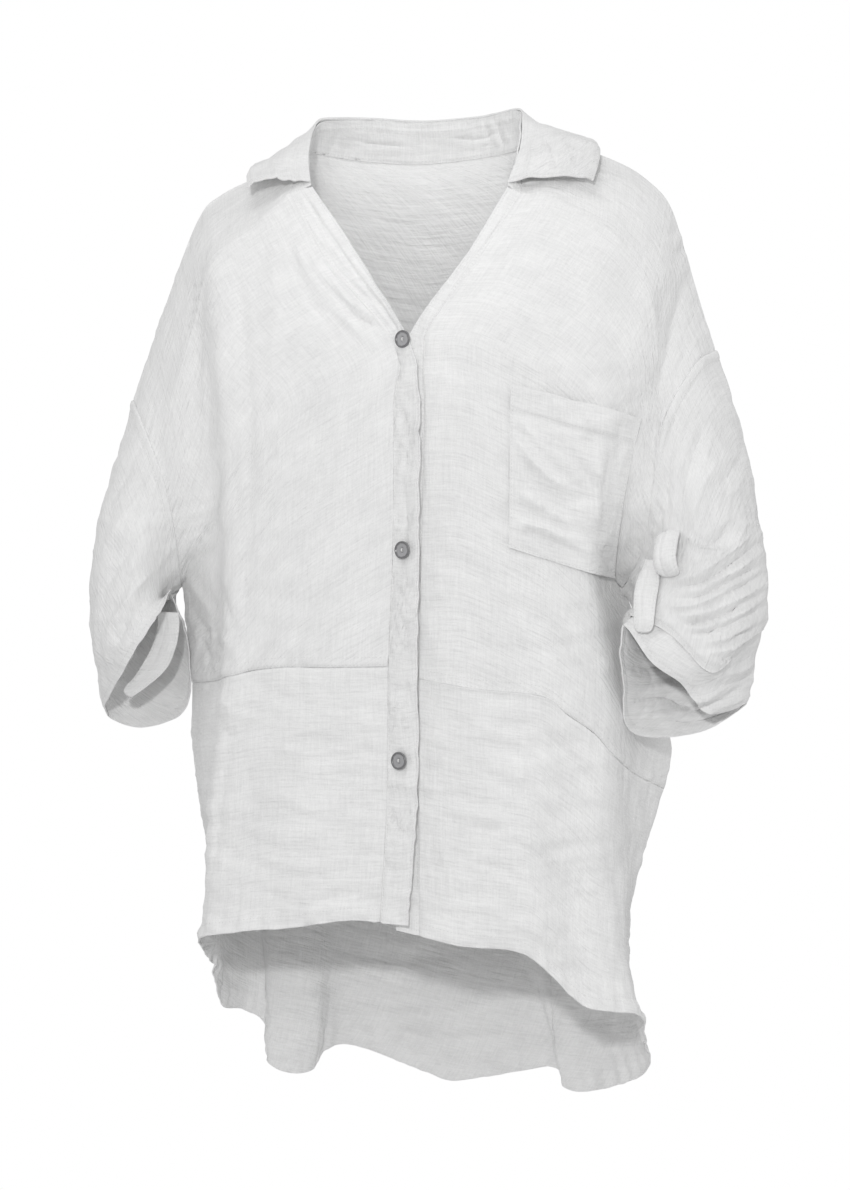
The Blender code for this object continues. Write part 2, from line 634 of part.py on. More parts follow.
def main():
    clear_scene()
    linen = cloth_material("linen", LINEN_WHITE, 0.9)
    shell = cloth_material("shell_grey", BUTTON_GREY, 0.25)
    net = build_net()
    add_folds(net, outward_directions(net))
    lift_clear(net["collar_leaf"], [net["front_right_upper"], net["front_left_upper"],
                                    net["back_upper"]], LEAF_CLEARANCE)
    directions = outward_directions(net)
    for name, grid in net.items():
        closed = name.startswith(("sleeve", "cuff"))
        doubled = name.startswith(("band", "collar", "cuff"))
        thickness = DOUBLED_WALL if doubled else CLOTH_WALL
        outer = trim_edges(grid, SEAM_GAP / 2, closed)
        inner = trim_edges(grid - directions[name] * thickness, SEAM_GAP / 2 + MITRE, closed)
        build = tube_wall if closed else wall
        build(name, ease_underarm(name, outer), ease_underarm(name, inner), linen)
    pocket, lift = pocket_grid(net["front_left_upper"])
    wall("pocket", pocket + lift * CLOTH_WALL, pocket, linen)
    for name, (facing, points) in TABS.items():
        strap, outward = tab_grid(facing, points)
        wall(name, strap + outward * DOUBLED_WALL, strap, linen)
    for number, (height, share) in enumerate(BUTTON_PLACES, start=1):
        add_button(f"button_{number}", net["band_right"], height, share, shell)


main()
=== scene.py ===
# A loose linen button-up shirt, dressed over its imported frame.
# Metres, +Z up, the front faces -Y and +X is the wearer's left. The seam lines are in millimetres.
import math

import bmesh
import bpy
import numpy as np
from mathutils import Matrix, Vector, noise
from mathutils.bvhtree import BVHTree


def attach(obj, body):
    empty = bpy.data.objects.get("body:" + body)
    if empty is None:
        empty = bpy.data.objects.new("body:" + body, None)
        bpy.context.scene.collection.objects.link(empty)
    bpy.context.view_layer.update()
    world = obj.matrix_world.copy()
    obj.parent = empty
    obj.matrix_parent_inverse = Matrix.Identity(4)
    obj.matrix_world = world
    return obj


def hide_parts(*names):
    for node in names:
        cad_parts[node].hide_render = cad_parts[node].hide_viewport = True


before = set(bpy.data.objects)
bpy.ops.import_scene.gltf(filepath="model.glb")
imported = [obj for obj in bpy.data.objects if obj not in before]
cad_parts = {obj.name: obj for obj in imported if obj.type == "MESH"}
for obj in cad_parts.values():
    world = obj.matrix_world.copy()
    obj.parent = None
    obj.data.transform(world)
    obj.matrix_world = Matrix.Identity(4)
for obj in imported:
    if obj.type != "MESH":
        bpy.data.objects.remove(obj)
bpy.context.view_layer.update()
mm = 0.001
print("frame loaded")

# how finely the net is cut, in cells along each seam line
fineness = 8
cells = {"shoulder": 13, "neckSide": 5, "backNeck": 14, "armhole": 12, "side": 4, "skirt": 8,
         "band": 2, "stand": 3, "leaf": 6, "sleeveRight": 4, "sleeveLeft": 7, "cuff": 4}
cells = {name: count * fineness for name, count in cells.items()}
cells["opening"] = cells["armhole"] + cells["side"] - cells["neckSide"]

# seam lines (x, y, z), from the neck outward or from the top down; right and left are the wearer's
seamLines = {
    "shoulderRight": [(-108, 5, 29), (-143, 8, 13), (-178, 8, -3), (-199, 7, -24), (-226, 4, -94),
                      (-255, 0, -180)],
    "shoulderLeft": [(80, 5, 29), (114, 8, 35), (165, 8, 17), (192, 8, -1), (209, 7, -22), (222, 6, -63),
                     (238, 2, -116), (247, 0, -143)],
    "armholeFrontRight": [(-255, 0, -180), (-240, -34, -198), (-213, -64, -250), (-204, -60, -290),
                          (-205, -34, -326), (-212, 0, -341)],
    "armholeFrontLeft": [(247, 0, -143), (232, -38, -158), (208, -70, -208), (199, -68, -271),
                         (185, -38, -320), (168, 0, -344)],
    "armholeBackRight": [(-255, 0, -180), (-240, 40, -198), (-213, 72, -250), (-204, 68, -290),
                         (-205, 38, -326), (-212, 0, -341)],
    "armholeBackLeft": [(247, 0, -143), (232, 42, -158), (208, 76, -208), (199, 74, -271),
                        (185, 42, -320), (168, 0, -344)],
    "sideRight": [(-212, 0, -341), (-208, 18, -379), (-210, 28, -425)],
    "sideLeft": [(168, 0, -344), (174, 26, -385), (196, 40, -445), (207, 41, -478), (201, 38, -514)],
    "neckSideRight": [(-108, 5, 29), (-104, -30, 9), (-106, -58, -12)],
    "neckSideLeft": [(80, 5, 29), (86, -30, 7), (90, -58, -16)],
    "backNeck": [(-108, 5, 29), (-102, 42, 34), (-79, 58, 31), (-50, 64, 28), (-16, 66, 26), (21, 64, 28),
                 (54, 56, 31), (73, 40, 32), (80, 5, 29)],
    "openingRight": [(-106, -58, -12), (-66, -86, -76), (-9, -108, -144), (-8, -114, -198), (-8, -118, -304),
                     (-12, -118, -407)],
    "openingLeft": [(90, -58, -16), (55, -86, -76), (21, -105, -128), (16, -108, -152), (17, -112, -205),
                    (15, -115, -304), (13, -115, -417)],
    "skirtOpeningRight": [(-12, -118, -407), (-13, -118, -515), (-19, -116, -615)],
    "skirtOpeningLeft": [(13, -115, -417), (13, -115, -515), (13, -113, -626)],
    "waistRight": [(-12, -118, -407), (-58, -116, -408), (-99, -106, -408), (-128, -96, -411),
                   (-148, -82, -417), (-182, -35, -422), (-210, 28, -425)],
    "waistLeft": [(13, -115, -417), (59, -113, -425), (112, -104, -431), (133, -98, -446), (154, -88, -462),
                  (168, -73, -481), (181, -22, -498), (201, 38, -514)],
    "waistBack": [(-210, 28, -425), (-205, 62, -441), (-163, 95, -468), (-17, 105, -503), (104, 98, -528),
                  (174, 80, -530), (201, 38, -514)],
    "skirtSideRight": [(-210, 28, -425), (-209, 27, -480), (-199, 24, -535), (-187, 18, -590),
                       (-182, 12, -640), (-184, 8, -667)],
    "skirtSideLeft": [(201, 38, -514), (189, 34, -550), (176, 24, -595), (171, 12, -640), (177, 2, -685),
                      (186, -5, -724)],
    "hemRight": [(-19, -116, -615), (-45, -114, -614), (-98, -108, -622), (-127, -102, -625),
                 (-158, -94, -630), (-176, -78, -635), (-182, -40, -649), (-184, 8, -667)],
    "hemLeft": [(13, -113, -626), (49, -113, -634), (94, -110, -638), (117, -104, -655), (145, -96, -682),
                (168, -88, -688), (188, -70, -692), (190, -40, -705), (186, -5, -724)],
    "hemBack": [(-184, 8, -667), (-187, 45, -706), (-175, 72, -713), (-155, 76, -726), (-149, 58, -756),
                (-128, 50, -765), (-106, 55, -762), (-99, 76, -748), (-76, 90, -746), (-16, 95, -768),
                (11, 93, -775), (69, 95, -766), (98, 94, -762), (107, 80, -776), (132, 76, -779),
                (176, 55, -763), (187, 30, -746), (186, -5, -724)],
    "roll": [(-87, -62, -5), (-94, -35, 16), (-97, -8, 38), (-97, 30, 59), (-77, 50, 64), (-53, 58, 64),
             (-11, 62, 61), (36, 58, 63), (75, 38, 67), (84, -5, 50), (85, -32, 22), (79, -62, -9)],
    "leafEdge": [(-144, -52, -3), (-152, -10, 14), (-146, 38, 16), (-108, 76, 7), (-17, 90, 0), (79, 79, 8),
                 (134, 40, 27), (148, 6, 33), (152, -24, 17), (149, -46, -4)],
    "lapRight": [(-86, -62, -7), (-54, -85, -51), (-17, -105, -107), (1, -113, -136), (9, -117, -154),
                 (15, -125, -205), (14, -129, -304), (13, -130, -408), (12, -129, -515), (5, -123, -617)],
    "lapLeft": [(79, -62, -11), (47, -86, -70), (13, -104, -120), (0, -109, -150), (-4, -112, -205),
                (-5, -114, -304), (-6, -114, -415), (-6, -114, -515), (-6, -112, -622)],
}

# sleeve sections below the armhole: outer side, front, inner side and back, with a point between each two
sleeveSections = {
    "Right": [
        [(-279, 0, -266), (-267, -52, -282), (-232, -78, -308), (-216, -55, -330),
         (-219, -8, -349), (-219, 38, -332), (-234, 64, -304), (-267, 46, -280)],
        [(-288, -5, -353), (-273, -60, -372), (-240, -90, -378), (-219, -72, -355),
         (-219, -24, -350), (-217, 8, -354), (-234, 30, -372), (-266, 28, -370)],
        [(-275, -10, -452), (-258, -62, -429), (-232, -96, -397), (-213, -86, -362),
         (-214, -34, -343), (-203, -8, -385), (-205, -4, -444), (-246, 6, -463)],
    ],
    "Left": [
        [(273, 0, -231), (258, -56, -250), (232, -84, -288), (205, -64, -322),
         (178, -15, -359), (193, 36, -330), (225, 62, -290), (258, 48, -254)],
        [(288, -5, -319), (276, -64, -336), (242, -98, -350), (206, -86, -346),
         (177, -46, -361), (181, -12, -368), (216, 20, -362), (262, 26, -343)],
        [(288, -12, -378), (280, -62, -386), (252, -98, -411), (218, -102, -379),
         (181, -78, -361), (178, -62, -390), (202, -30, -409), (254, -8, -405)],
    ],
}

# the largest folds, as in the frame: side, points (x, z) along the fold, half width, height
largeFolds = [
    ("front", [(-172, -60), (-152, -190), (-146, -330), (-148, -430), (-160, -520), (-170, -620)], 13, 8),
    ("front", [(-190, -80), (-180, -200), (-176, -330), (-178, -420)], 15, -7),
    ("front", [(206, -60), (200, -120), (198, -145), (188, -190)], 12, 5),
    ("front", [(150, -100), (158, -200), (152, -300), (160, -400)], 16, 4),
    ("front", [(158, -470), (163, -560), (172, -640)], 14, 6),
    ("front", [(60, -450), (90, -540), (110, -650)], 18, 4),
    ("front", [(128, -480), (136, -580), (140, -690)], 13, -4),
    ("front", [(-90, -430), (-84, -520), (-92, -620)], 20, 3),
    ("back", [(-110, -60), (-100, -220), (-118, -420), (-128, -600)], 22, 6),
    ("back", [(-40, -90), (-52, -280), (-40, -480), (-52, -640)], 20, -5),
    ("back", [(60, -70), (72, -260), (58, -470), (70, -650)], 22, 6),
    ("back", [(120, -120), (128, -300), (118, -520)], 20, -5),
]


# a smooth line through its points, cut into equal steps
def smoothLine(points, count):
    knots = np.array(points, float)
    padded = np.vstack([2 * knots[0] - knots[1], knots, 2 * knots[-1] - knots[-2]])
    step = np.linspace(0, 1, 24, endpoint=False)[:, None]
    fine = [curveBetween(*padded[index - 1:index + 3], step) for index in range(1, len(padded) - 2)]
    fine = np.vstack(fine + [knots[-1:]])
    run = np.concatenate([[0], np.cumsum(np.linalg.norm(np.diff(fine, axis=0), axis=1))])
    wanted = np.linspace(0, run[-1], count + 1)
    return np.column_stack([np.interp(wanted, run, fine[:, axis]) for axis in range(fine.shape[1])])


def curveBetween(before, first, second, after, step):
    return 0.5 * (2 * first + (second - before) * step
                  + (2 * before - 5 * first + 4 * second - after) * step ** 2
                  + (3 * first - before - 3 * second + after) * step ** 3)


def seam(name, count):
    return smoothLine(seamLines[name], count) * mm


def joinLines(*lines):
    return np.vstack([lines[0]] + [line[1:] for line in lines[1:]])


# a patch between four lines, its depth following a rounded section
def patch(top, bottom, inner, outer, fullness=1.0):
    across = np.linspace(0, 1, len(top))[None, :, None]
    fall = np.linspace(0, 1, len(inner))[:, None, None]
    share = np.concatenate([across, across ** fullness, across], axis=2)
    cornerTop = (1 - share) * top[0] + share * top[-1]
    cornerBottom = (1 - share) * bottom[0] + share * bottom[-1]
    ruled = (1 - share) * inner[:, None, :] + share * outer[:, None, :]
    return ruled + (1 - fall) * (top[None] - cornerTop) + fall * (bottom[None] - cornerBottom)


def backPatch(top, bottom, right, left, fullness=0.015):
    across = np.linspace(0, 1, len(top))[None, :, None]
    fall = np.linspace(0, 1, len(right))[:, None, None]
    middle = np.sqrt(4 * across * (1 - across))
    edges = (1 - across) * right[:, None, :] + across * left[:, None, :]
    calm = ((1 - across) * ((1 - fall) * right[0] + fall * right[-1])
            + across * ((1 - fall) * left[0] + fall * left[-1]))
    ruled = edges.copy()
    ruled[..., 1:2] = (1 - middle) * edges[..., 1:2] + middle * calm[..., 1:2]
    cornerTop = (1 - across) * top[0] + across * top[-1]
    cornerBottom = (1 - across) * bottom[0] + across * bottom[-1]
    fading = np.concatenate([(1 - fall) ** 4, (1 - fall) ** 6, 1 - fall], axis=2)
    growing = np.concatenate([fall, 1 - (1 - fall) ** 2, fall], axis=2)
    grid = ruled + fading * (top[None] - cornerTop) + growing * (bottom[None] - cornerBottom)
    grid[..., 1:2] += fullness * middle * np.sin(np.pi * fall)
    return grid


def strip(first, second, count):
    share = np.linspace(0, 1, count + 1)[None, :, None]
    return (1 - share) * first[:, None, :] + share * second[:, None, :]


# the collar's leaf rises over the roll before it falls to its edge, less at its front ends
collar = {"rise": 0.006, "endShare": 0.45, "fullFrom": 0.6, "overRoll": 0.003, "clearance": 0.0065,
          "wave": 0.0024, "curl": 0.003, "curlReach": 0.004,
          "ridge": 0.0013, "ridgeInset": 0.006, "ridgeWidth": 0.0035}


def leafGrid(roll, edge):
    count = cells["leaf"]
    grid = strip(roll, edge, count)
    grid[..., 2] += collar["overRoll"] * np.linspace(1, 0, count + 1)
    share = np.linspace(0, 1, count + 1)[None, :]
    along = np.linspace(0, 1, len(roll))[:, None]
    full = np.minimum(1, np.sin(np.pi * along) / collar["fullFrom"])
    rise = collar["rise"] * (collar["endShare"] + (1 - collar["endShare"]) * full)
    grid[..., 2] += rise * np.sin(np.pi * share) ** 0.8
    return grid


def sectionRing(points):
    knots = np.array(points, float) * mm
    count = 2 * cells["armhole"] // len(knots)
    step = np.linspace(0, 1, count, endpoint=False)[:, None]
    ring = [curveBetween(*(knots[(index + shift) % len(knots)] for shift in (-1, 0, 1, 2)), step)
            for index in range(len(knots))]
    ring = np.vstack(ring)
    return np.vstack([ring, ring[:1]])


def loft(rings, count):
    columns = [smoothLine([ring[index] for ring in rings], count * (len(rings) - 1))
               for index in range(len(rings[0]))]
    return np.stack(columns, axis=1)


# the left sleeve's turned-up cuff starts inside the sleeve's end and comes out below it
cuff = {"startShare": 5 / 6, "startInset": 0.0017, "inset": 0.0055,
        "end": [(274, -14, -439), (247, -60, -447), (224, -92, -421), (200, -98, -402),
                (175, -84, -371), (174, -72, -422), (181, -58, -462), (232, -22, -463)]}


def cuffGrid(sleeve):
    def inset(ring, depth):
        outward = ring - ring[:-1].mean(axis=0)
        return ring - depth * outward / np.linalg.norm(outward, axis=1)[:, None]

    start = inset(sleeve[round((len(sleeve) - 1) * cuff["startShare"])], cuff["startInset"])
    return loft([start, inset(sleeve[-1], cuff["inset"]), sectionRing(cuff["end"])], cells["cuff"])


# the seam lines that both sides have, each with the entry of cells that says how finely it is cut
seamCells = {"shoulder": "shoulder", "side": "side", "neckSide": "neckSide", "opening": "opening",
             "skirtOpening": "skirt", "armholeFront": "armhole", "armholeBack": "armhole",
             "waist": "shoulder", "hem": "shoulder", "skirtSide": "skirt"}


def buildNet():
    line = {name + side: seam(name + side, cells[kind]) for name, kind in seamCells.items()
            for side in ("Right", "Left")}
    line["backNeck"] = seam("backNeck", cells["backNeck"])
    backCount = 2 * cells["shoulder"] + cells["backNeck"]
    waistBack = seam("waistBack", backCount)
    backTop = joinLines(line["shoulderRight"][::-1], line["backNeck"], line["shoulderLeft"])
    net = {}
    for side in ("Right", "Left"):
        net["frontUpper" + side] = patch(
            line["shoulder" + side], line["waist" + side],
            joinLines(line["neckSide" + side], line["opening" + side]),
            joinLines(line["armholeFront" + side], line["side" + side]), fullness=3.0)
        net["frontLower" + side] = patch(line["waist" + side], line["hem" + side],
                                         line["skirtOpening" + side], line["skirtSide" + side])
        edge = joinLines(line["opening" + side], line["skirtOpening" + side])
        net["band" + side] = strip(edge, seam("lap" + side, len(edge) - 1), cells["band"])
        armhole = joinLines(line["armholeFront" + side], line["armholeBack" + side][::-1])
        sections = [sectionRing(row) for row in sleeveSections[side]]
        net["sleeve" + side] = loft([armhole] + sections, cells["sleeve" + side])
    net["backUpper"] = backPatch(backTop, waistBack, joinLines(line["armholeBackRight"], line["sideRight"]),
                                 joinLines(line["armholeBackLeft"], line["sideLeft"]))
    net["backLower"] = patch(waistBack, seam("hemBack", backCount),
                             line["skirtSideRight"], line["skirtSideLeft"])
    neckLine = joinLines(line["neckSideRight"][::-1], line["backNeck"], line["neckSideLeft"])
    roll = seam("roll", len(neckLine) - 1)
    net["collarStand"] = strip(neckLine, roll, cells["stand"])
    net["collarLeaf"] = leafGrid(roll, seam("leafEdge", len(neckLine) - 1))
    net["cuffLeft"] = cuffGrid(net["sleeveLeft"])
    return net


def distanceToPiece(spots, first, second):
    along = second - first
    share = ((spots - first) * along).sum(axis=1) / np.maximum((along ** 2).sum(axis=1), 1e-12)
    return np.linalg.norm(spots - first - along * np.clip(share, 0, 1)[:, None], axis=1)


# heights of creases at the points: each crease is a smooth line (x, z) with its half width and height.
# A soft one keeps some height at its ends. A crisp one says how soon it fades, and has a sharp top
# with a shallow trough on both sides.
creaseShape = {"steps": 30, "softEnd": 0.3, "softFade": 0.25, "round": 0.55, "sharp": 0.75, "sharpness": 2.6,
               "trough": 0.22, "troughPlace": 1.7, "troughWidth": 0.8}


def creaseHeights(points, facing, folds):
    flat = points.reshape(-1, 3)
    total = np.zeros(len(flat))
    shape, steps = creaseShape, creaseShape["steps"]
    for side, line, halfWidth, height, *crisp in folds:
        weight = np.clip(facing[side].reshape(-1), 0, 1)
        if not weight.any():
            continue
        path = smoothLine(line, steps) * mm
        spots = flat[:, (0, 2)]
        apart = spots[:, None, :] - path[None, :, :]
        nearest = np.hypot(apart[..., 0], apart[..., 1]).argmin(axis=1)
        gap = np.minimum(distanceToPiece(spots, path[np.maximum(nearest - 1, 0)], path[nearest]),
                         distanceToPiece(spots, path[nearest], path[np.minimum(nearest + 1, steps)]))
        reach = gap / (halfWidth * mm)
        profile = np.exp(-reach ** 2)
        ends = np.minimum(nearest, steps - nearest) / steps
        fade = np.minimum(1.0, shape["softEnd"] + ends / shape["softFade"])
        if crisp:
            fade = np.minimum(1.0, ends / crisp[0])
            trough = np.exp(-((reach - shape["troughPlace"]) / shape["troughWidth"]) ** 2)
            profile = (shape["round"] * profile + shape["sharp"] * np.exp(-shape["sharpness"] * reach)
                       - shape["trough"] * trough)
        total += weight * fade * height * mm * profile
    return total.reshape(points.shape[:2])


# directions that point out of the cloth, shared where pieces meet
def outwardDirections(net):
    places, sums = [], []
    for name, grid in net.items():
        crossed = np.cross(grid[1:, 1:] - grid[:-1, :-1], grid[:-1, 1:] - grid[1:, :-1])
        centres = (grid[:-1, :-1] + grid[1:, 1:]) / 2
        if name.startswith(("sleeve", "cuff")):
            middle = centres.mean(axis=1, keepdims=True)
        else:
            middle = centres * (0, 0, 0.9) + (-0.01, 0, -0.02)
        if ((centres - middle) * crossed).sum() < 0:
            crossed = -crossed
        total = np.zeros(grid.shape)
        for row in (0, 1):
            for column in (0, 1):
                total[row:row + crossed.shape[0], column:column + crossed.shape[1]] += crossed
        places.append(grid.reshape(-1, 3))
        sums.append(total.reshape(-1, 3))
    stacked = np.round(np.vstack(places), 6)
    order, shared = np.unique(stacked, axis=0, return_inverse=True)
    shared = shared.reshape(-1)
    merged = np.zeros((len(order), 3))
    np.add.at(merged, shared, np.vstack(sums))
    for side in ("Right", "Left"):
        underarm = net["sleeve" + side][0, cells["armhole"]]
        merged[np.abs(order - underarm).sum(axis=1) < 3e-6] = (0, 0, -1)
    merged /= np.maximum(np.linalg.norm(merged, axis=1), 1e-12)[:, None]
    directions, start = {}, 0
    for name, grid in net.items():
        count = grid.shape[0] * grid.shape[1]
        directions[name] = merged[shared[start:start + count]].reshape(grid.shape)
        start += count
    return directions


# the large folds pass from the front to the back over this depth
turnDepth = 0.03


def addLargeFolds(net, directions):
    for name, grid in net.items():
        if name.startswith(("front", "back", "band", "sleeve")):
            front = np.clip((turnDepth - grid[..., 1]) / (2 * turnDepth), 0, 1)
            heights = creaseHeights(grid, {"front": front, "back": 1 - front}, largeFolds)
            grid += directions[name] * heights[..., None]


def surfaceTree(*grids):
    points, faces = [], []
    for grid in grids:
        rows, columns = grid.shape[:2]
        first = len(points)
        points += [Vector(point) for point in grid.reshape(-1, 3)]
        faces += [(corner, corner + columns, corner + columns + 1, corner + 1)
                  for row in range(rows - 1) for corner in range(first + row * columns,
                                                                 first + row * columns + columns - 1)]
    return BVHTree.FromPolygons(points, faces)


# the leaf lies over the shoulders: points that come too near the cloth below move up, and their
# neighbours with them. The cloth is looked for from above, and where it is too steep it doesn't count.
lifting = {"lookFrom": 0.2, "steepest": 0.25, "keep": 0.8}


def liftClear(grid, below, clearance):
    tree = surfaceTree(*below)
    lift = np.zeros(grid.shape[:2])
    for row in range(grid.shape[0]):
        for column in range(1, grid.shape[1]):
            above = Vector(grid[row, column]) + Vector((0, 0, lifting["lookFrom"]))
            place, normal, _, _ = tree.ray_cast(above, Vector((0, 0, -1)))
            if place is not None and abs(normal.z) > lifting["steepest"]:
                lift[row, column] = max(0, place.z + clearance / abs(normal.z) - grid[row, column, 2])
    for _ in range(3 * fineness):
        around = np.pad(lift, 1, mode="edge")
        lift = np.maximum(lift * lifting["keep"], (around[:-2, 1:-1] + around[2:, 1:-1] + around[1:-1, :-2]
                                                   + around[1:-1, 2:] + lift) / 5)
    grid[..., 2] += lift


net = buildNet()
addLargeFolds(net, outwardDirections(net))
liftClear(net["collarLeaf"], [net["frontUpperRight"], net["frontUpperLeft"], net["backUpper"]],
          collar["clearance"])
print("net of seam lines built")


# extra grid lines close to the edges, for seams and hems
def edgeLines(count):
    steps = np.array([0, 0.2, 0.4, 0.65])
    return np.concatenate([steps, np.arange(1, count - 1), count - 1 - steps[::-1]])


def resample(grid, places, axis):
    low = np.minimum(places.astype(int), grid.shape[axis] - 2)
    share = (places - low).reshape((-1, 1, 1) if axis == 0 else (1, -1, 1))
    return np.take(grid, low, axis) * (1 - share) + np.take(grid, low + 1, axis) * share


# distances over the cloth from each of its four edges, in metres
def edgeDistances(grid):
    down = np.linalg.norm(np.diff(grid, axis=0), axis=2)
    across = np.linalg.norm(np.diff(grid, axis=1), axis=2)
    fromTop = np.vstack([np.zeros((1, grid.shape[1])), np.cumsum(down, axis=0)])
    fromInner = np.hstack([np.zeros((grid.shape[0], 1)), np.cumsum(across, axis=1)])
    return {"top": fromTop, "bottom": fromTop[-1:] - fromTop,
            "inner": fromInner, "outer": fromInner[:, -1:] - fromInner}


def smoothStep(low, high, value):
    share = np.clip((value - low) / (high - low), 0, 1)
    return share * share * (3 - 2 * share)


def noiseAt(points, scales, seed):
    scaled = points.reshape(-1, 3) * scales + seed
    return np.array([noise.noise(Vector(point)) for point in scaled]).reshape(points.shape[:2])


# linen's crushed look: long flat ripples across the body, crisp little crush lines in patches, small
# crumples and a slow sway, with heights in millimetres and scales in cells per metre
linen = {"ripple": 1.1, "rippleScale": (14, 14, 62), "crush": 0.75, "crushScale": (26, 26, 120),
         "crumple": 0.5, "crumpleScale": (60, 60, 44), "sway": 2.2, "swayScale": (9, 9, 6),
         "wander": 0.02, "wanderScale": (9, 9, 9), "patchScale": (14, 14, 18), "wall": 0.0009}
# where each noise is taken from, so that no two look alike
seeds = {"wander": 31.7, "ripple": 3.3, "fineRipple": 8.1, "patch": 55.5, "crush": 71.3, "crumple": 12.4,
         "sway": 40.2, "pucker": 21.5, "collarWave": 5.5, "collarRuffle": 9.5}


def crinkle(points, lively):
    wander = noiseAt(points, linen["wanderScale"], seeds["wander"])
    moved = points + np.stack([wander, wander, wander * 0.9], axis=2) * linen["wander"]
    ripples = noiseAt(moved, linen["rippleScale"], seeds["ripple"])
    ripples = ripples + 0.5 * noiseAt(moved, np.array(linen["rippleScale"]) * 1.9, seeds["fineRipple"])
    patches = smoothStep(-0.25, 0.35, noiseAt(points, linen["patchScale"], seeds["patch"]))
    crush = np.minimum(1, np.abs(noiseAt(moved, linen["crushScale"], seeds["crush"])) * 2.2)
    crush = (0.35 - crush) * patches
    crumples = 0.5 - np.abs(noiseAt(moved, linen["crumpleScale"], seeds["crumple"])) * 2
    sway = noiseAt(points, linen["swayScale"], seeds["sway"])
    return (linen["ripple"] * ripples + linen["crush"] * crush + linen["crumple"] * crumples
            + linen["sway"] * sway) * lively * mm


# what a panel has: its node, its sewn edges, the edges with a pressed welt, its stitch lines (edge, inset),
# the hem's depth, how far an edge rolls in and its wall, all in millimetres, and how lively its cloth is
# at the top and at the bottom
panels = {
    "frontUpperRight": {"node": "front_right_upper", "sewn": ("top", "bottom", "inner", "outer"),
                        "welts": ("bottom",), "stitches": [("bottom", 2), ("bottom", 8)],
                        "lively": (0.7, 1.1)},
    "frontUpperLeft": {"node": "front_left_upper", "sewn": ("top", "bottom", "inner", "outer"),
                       "welts": ("bottom",), "stitches": [("bottom", 2), ("bottom", 8)],
                       "lively": (0.9, 1.3)},
    "frontLowerRight": {"node": "front_right_lower", "sewn": ("top", "inner", "outer"), "hem": 11,
                        "stitches": [("bottom", 10)], "lively": (1.4, 1.9)},
    "frontLowerLeft": {"node": "front_left_lower", "sewn": ("top", "inner", "outer"), "hem": 11,
                       "stitches": [("bottom", 10)], "lively": (1.4, 2.0)},
    "backUpper": {"node": "back_upper", "sewn": ("top", "bottom", "inner", "outer"), "welts": ("bottom",),
                  "stitches": [("bottom", 2), ("bottom", 8)], "lively": (0.7, 1.1)},
    "backLower": {"node": "back_lower", "sewn": ("top", "inner", "outer"), "hem": 11,
                  "stitches": [("bottom", 10)], "lively": (1.2, 1.9)},
    "bandRight": {"node": "band_right", "sewn": ("inner",), "wall": 1.6,
                  "stitches": [("inner", 2), ("outer", 2)], "lively": (1.8, 2.7)},
    "bandLeft": {"node": "band_left", "sewn": ("inner",), "wall": 1.6,
                 "stitches": [("inner", 2), ("outer", 2)], "lively": (1.3, 1.3)},
    "collarStand": {"node": "collar_stand", "sewn": ("inner",), "wall": 1.6,
                    "stitches": [("inner", 3), ("outer", 7)], "inside": True, "lively": (0.8, 0.8)},
    "collarLeaf": {"node": "collar_leaf", "sewn": (), "wall": 1.8,
                   "stitches": [("outer", 5), ("top", 5), ("bottom", 5)], "lively": (0.8, 0.8)},
    "sleeveRight": {"node": "sleeve_right", "sewn": ("top",), "closed": True, "welts": ("top",),
                    "rolled": {"bottom": 1.5}, "stitches": [("top", 8), ("bottom", 5)], "lively": (0.9, 1.4)},
    "sleeveLeft": {"node": "sleeve_left", "sewn": ("top",), "closed": True, "welts": ("top",),
                   "rolled": {"bottom": 3.4}, "stitches": [("top", 8), ("bottom", 6)], "lively": (0.9, 1.7)},
    "cuffLeft": {"node": "cuff_left", "sewn": (), "closed": True, "wall": 1.6,
                 "rolled": {"bottom": 1.5}, "stitches": [("bottom", 5)], "lively": (1.1, 1.6)},
}

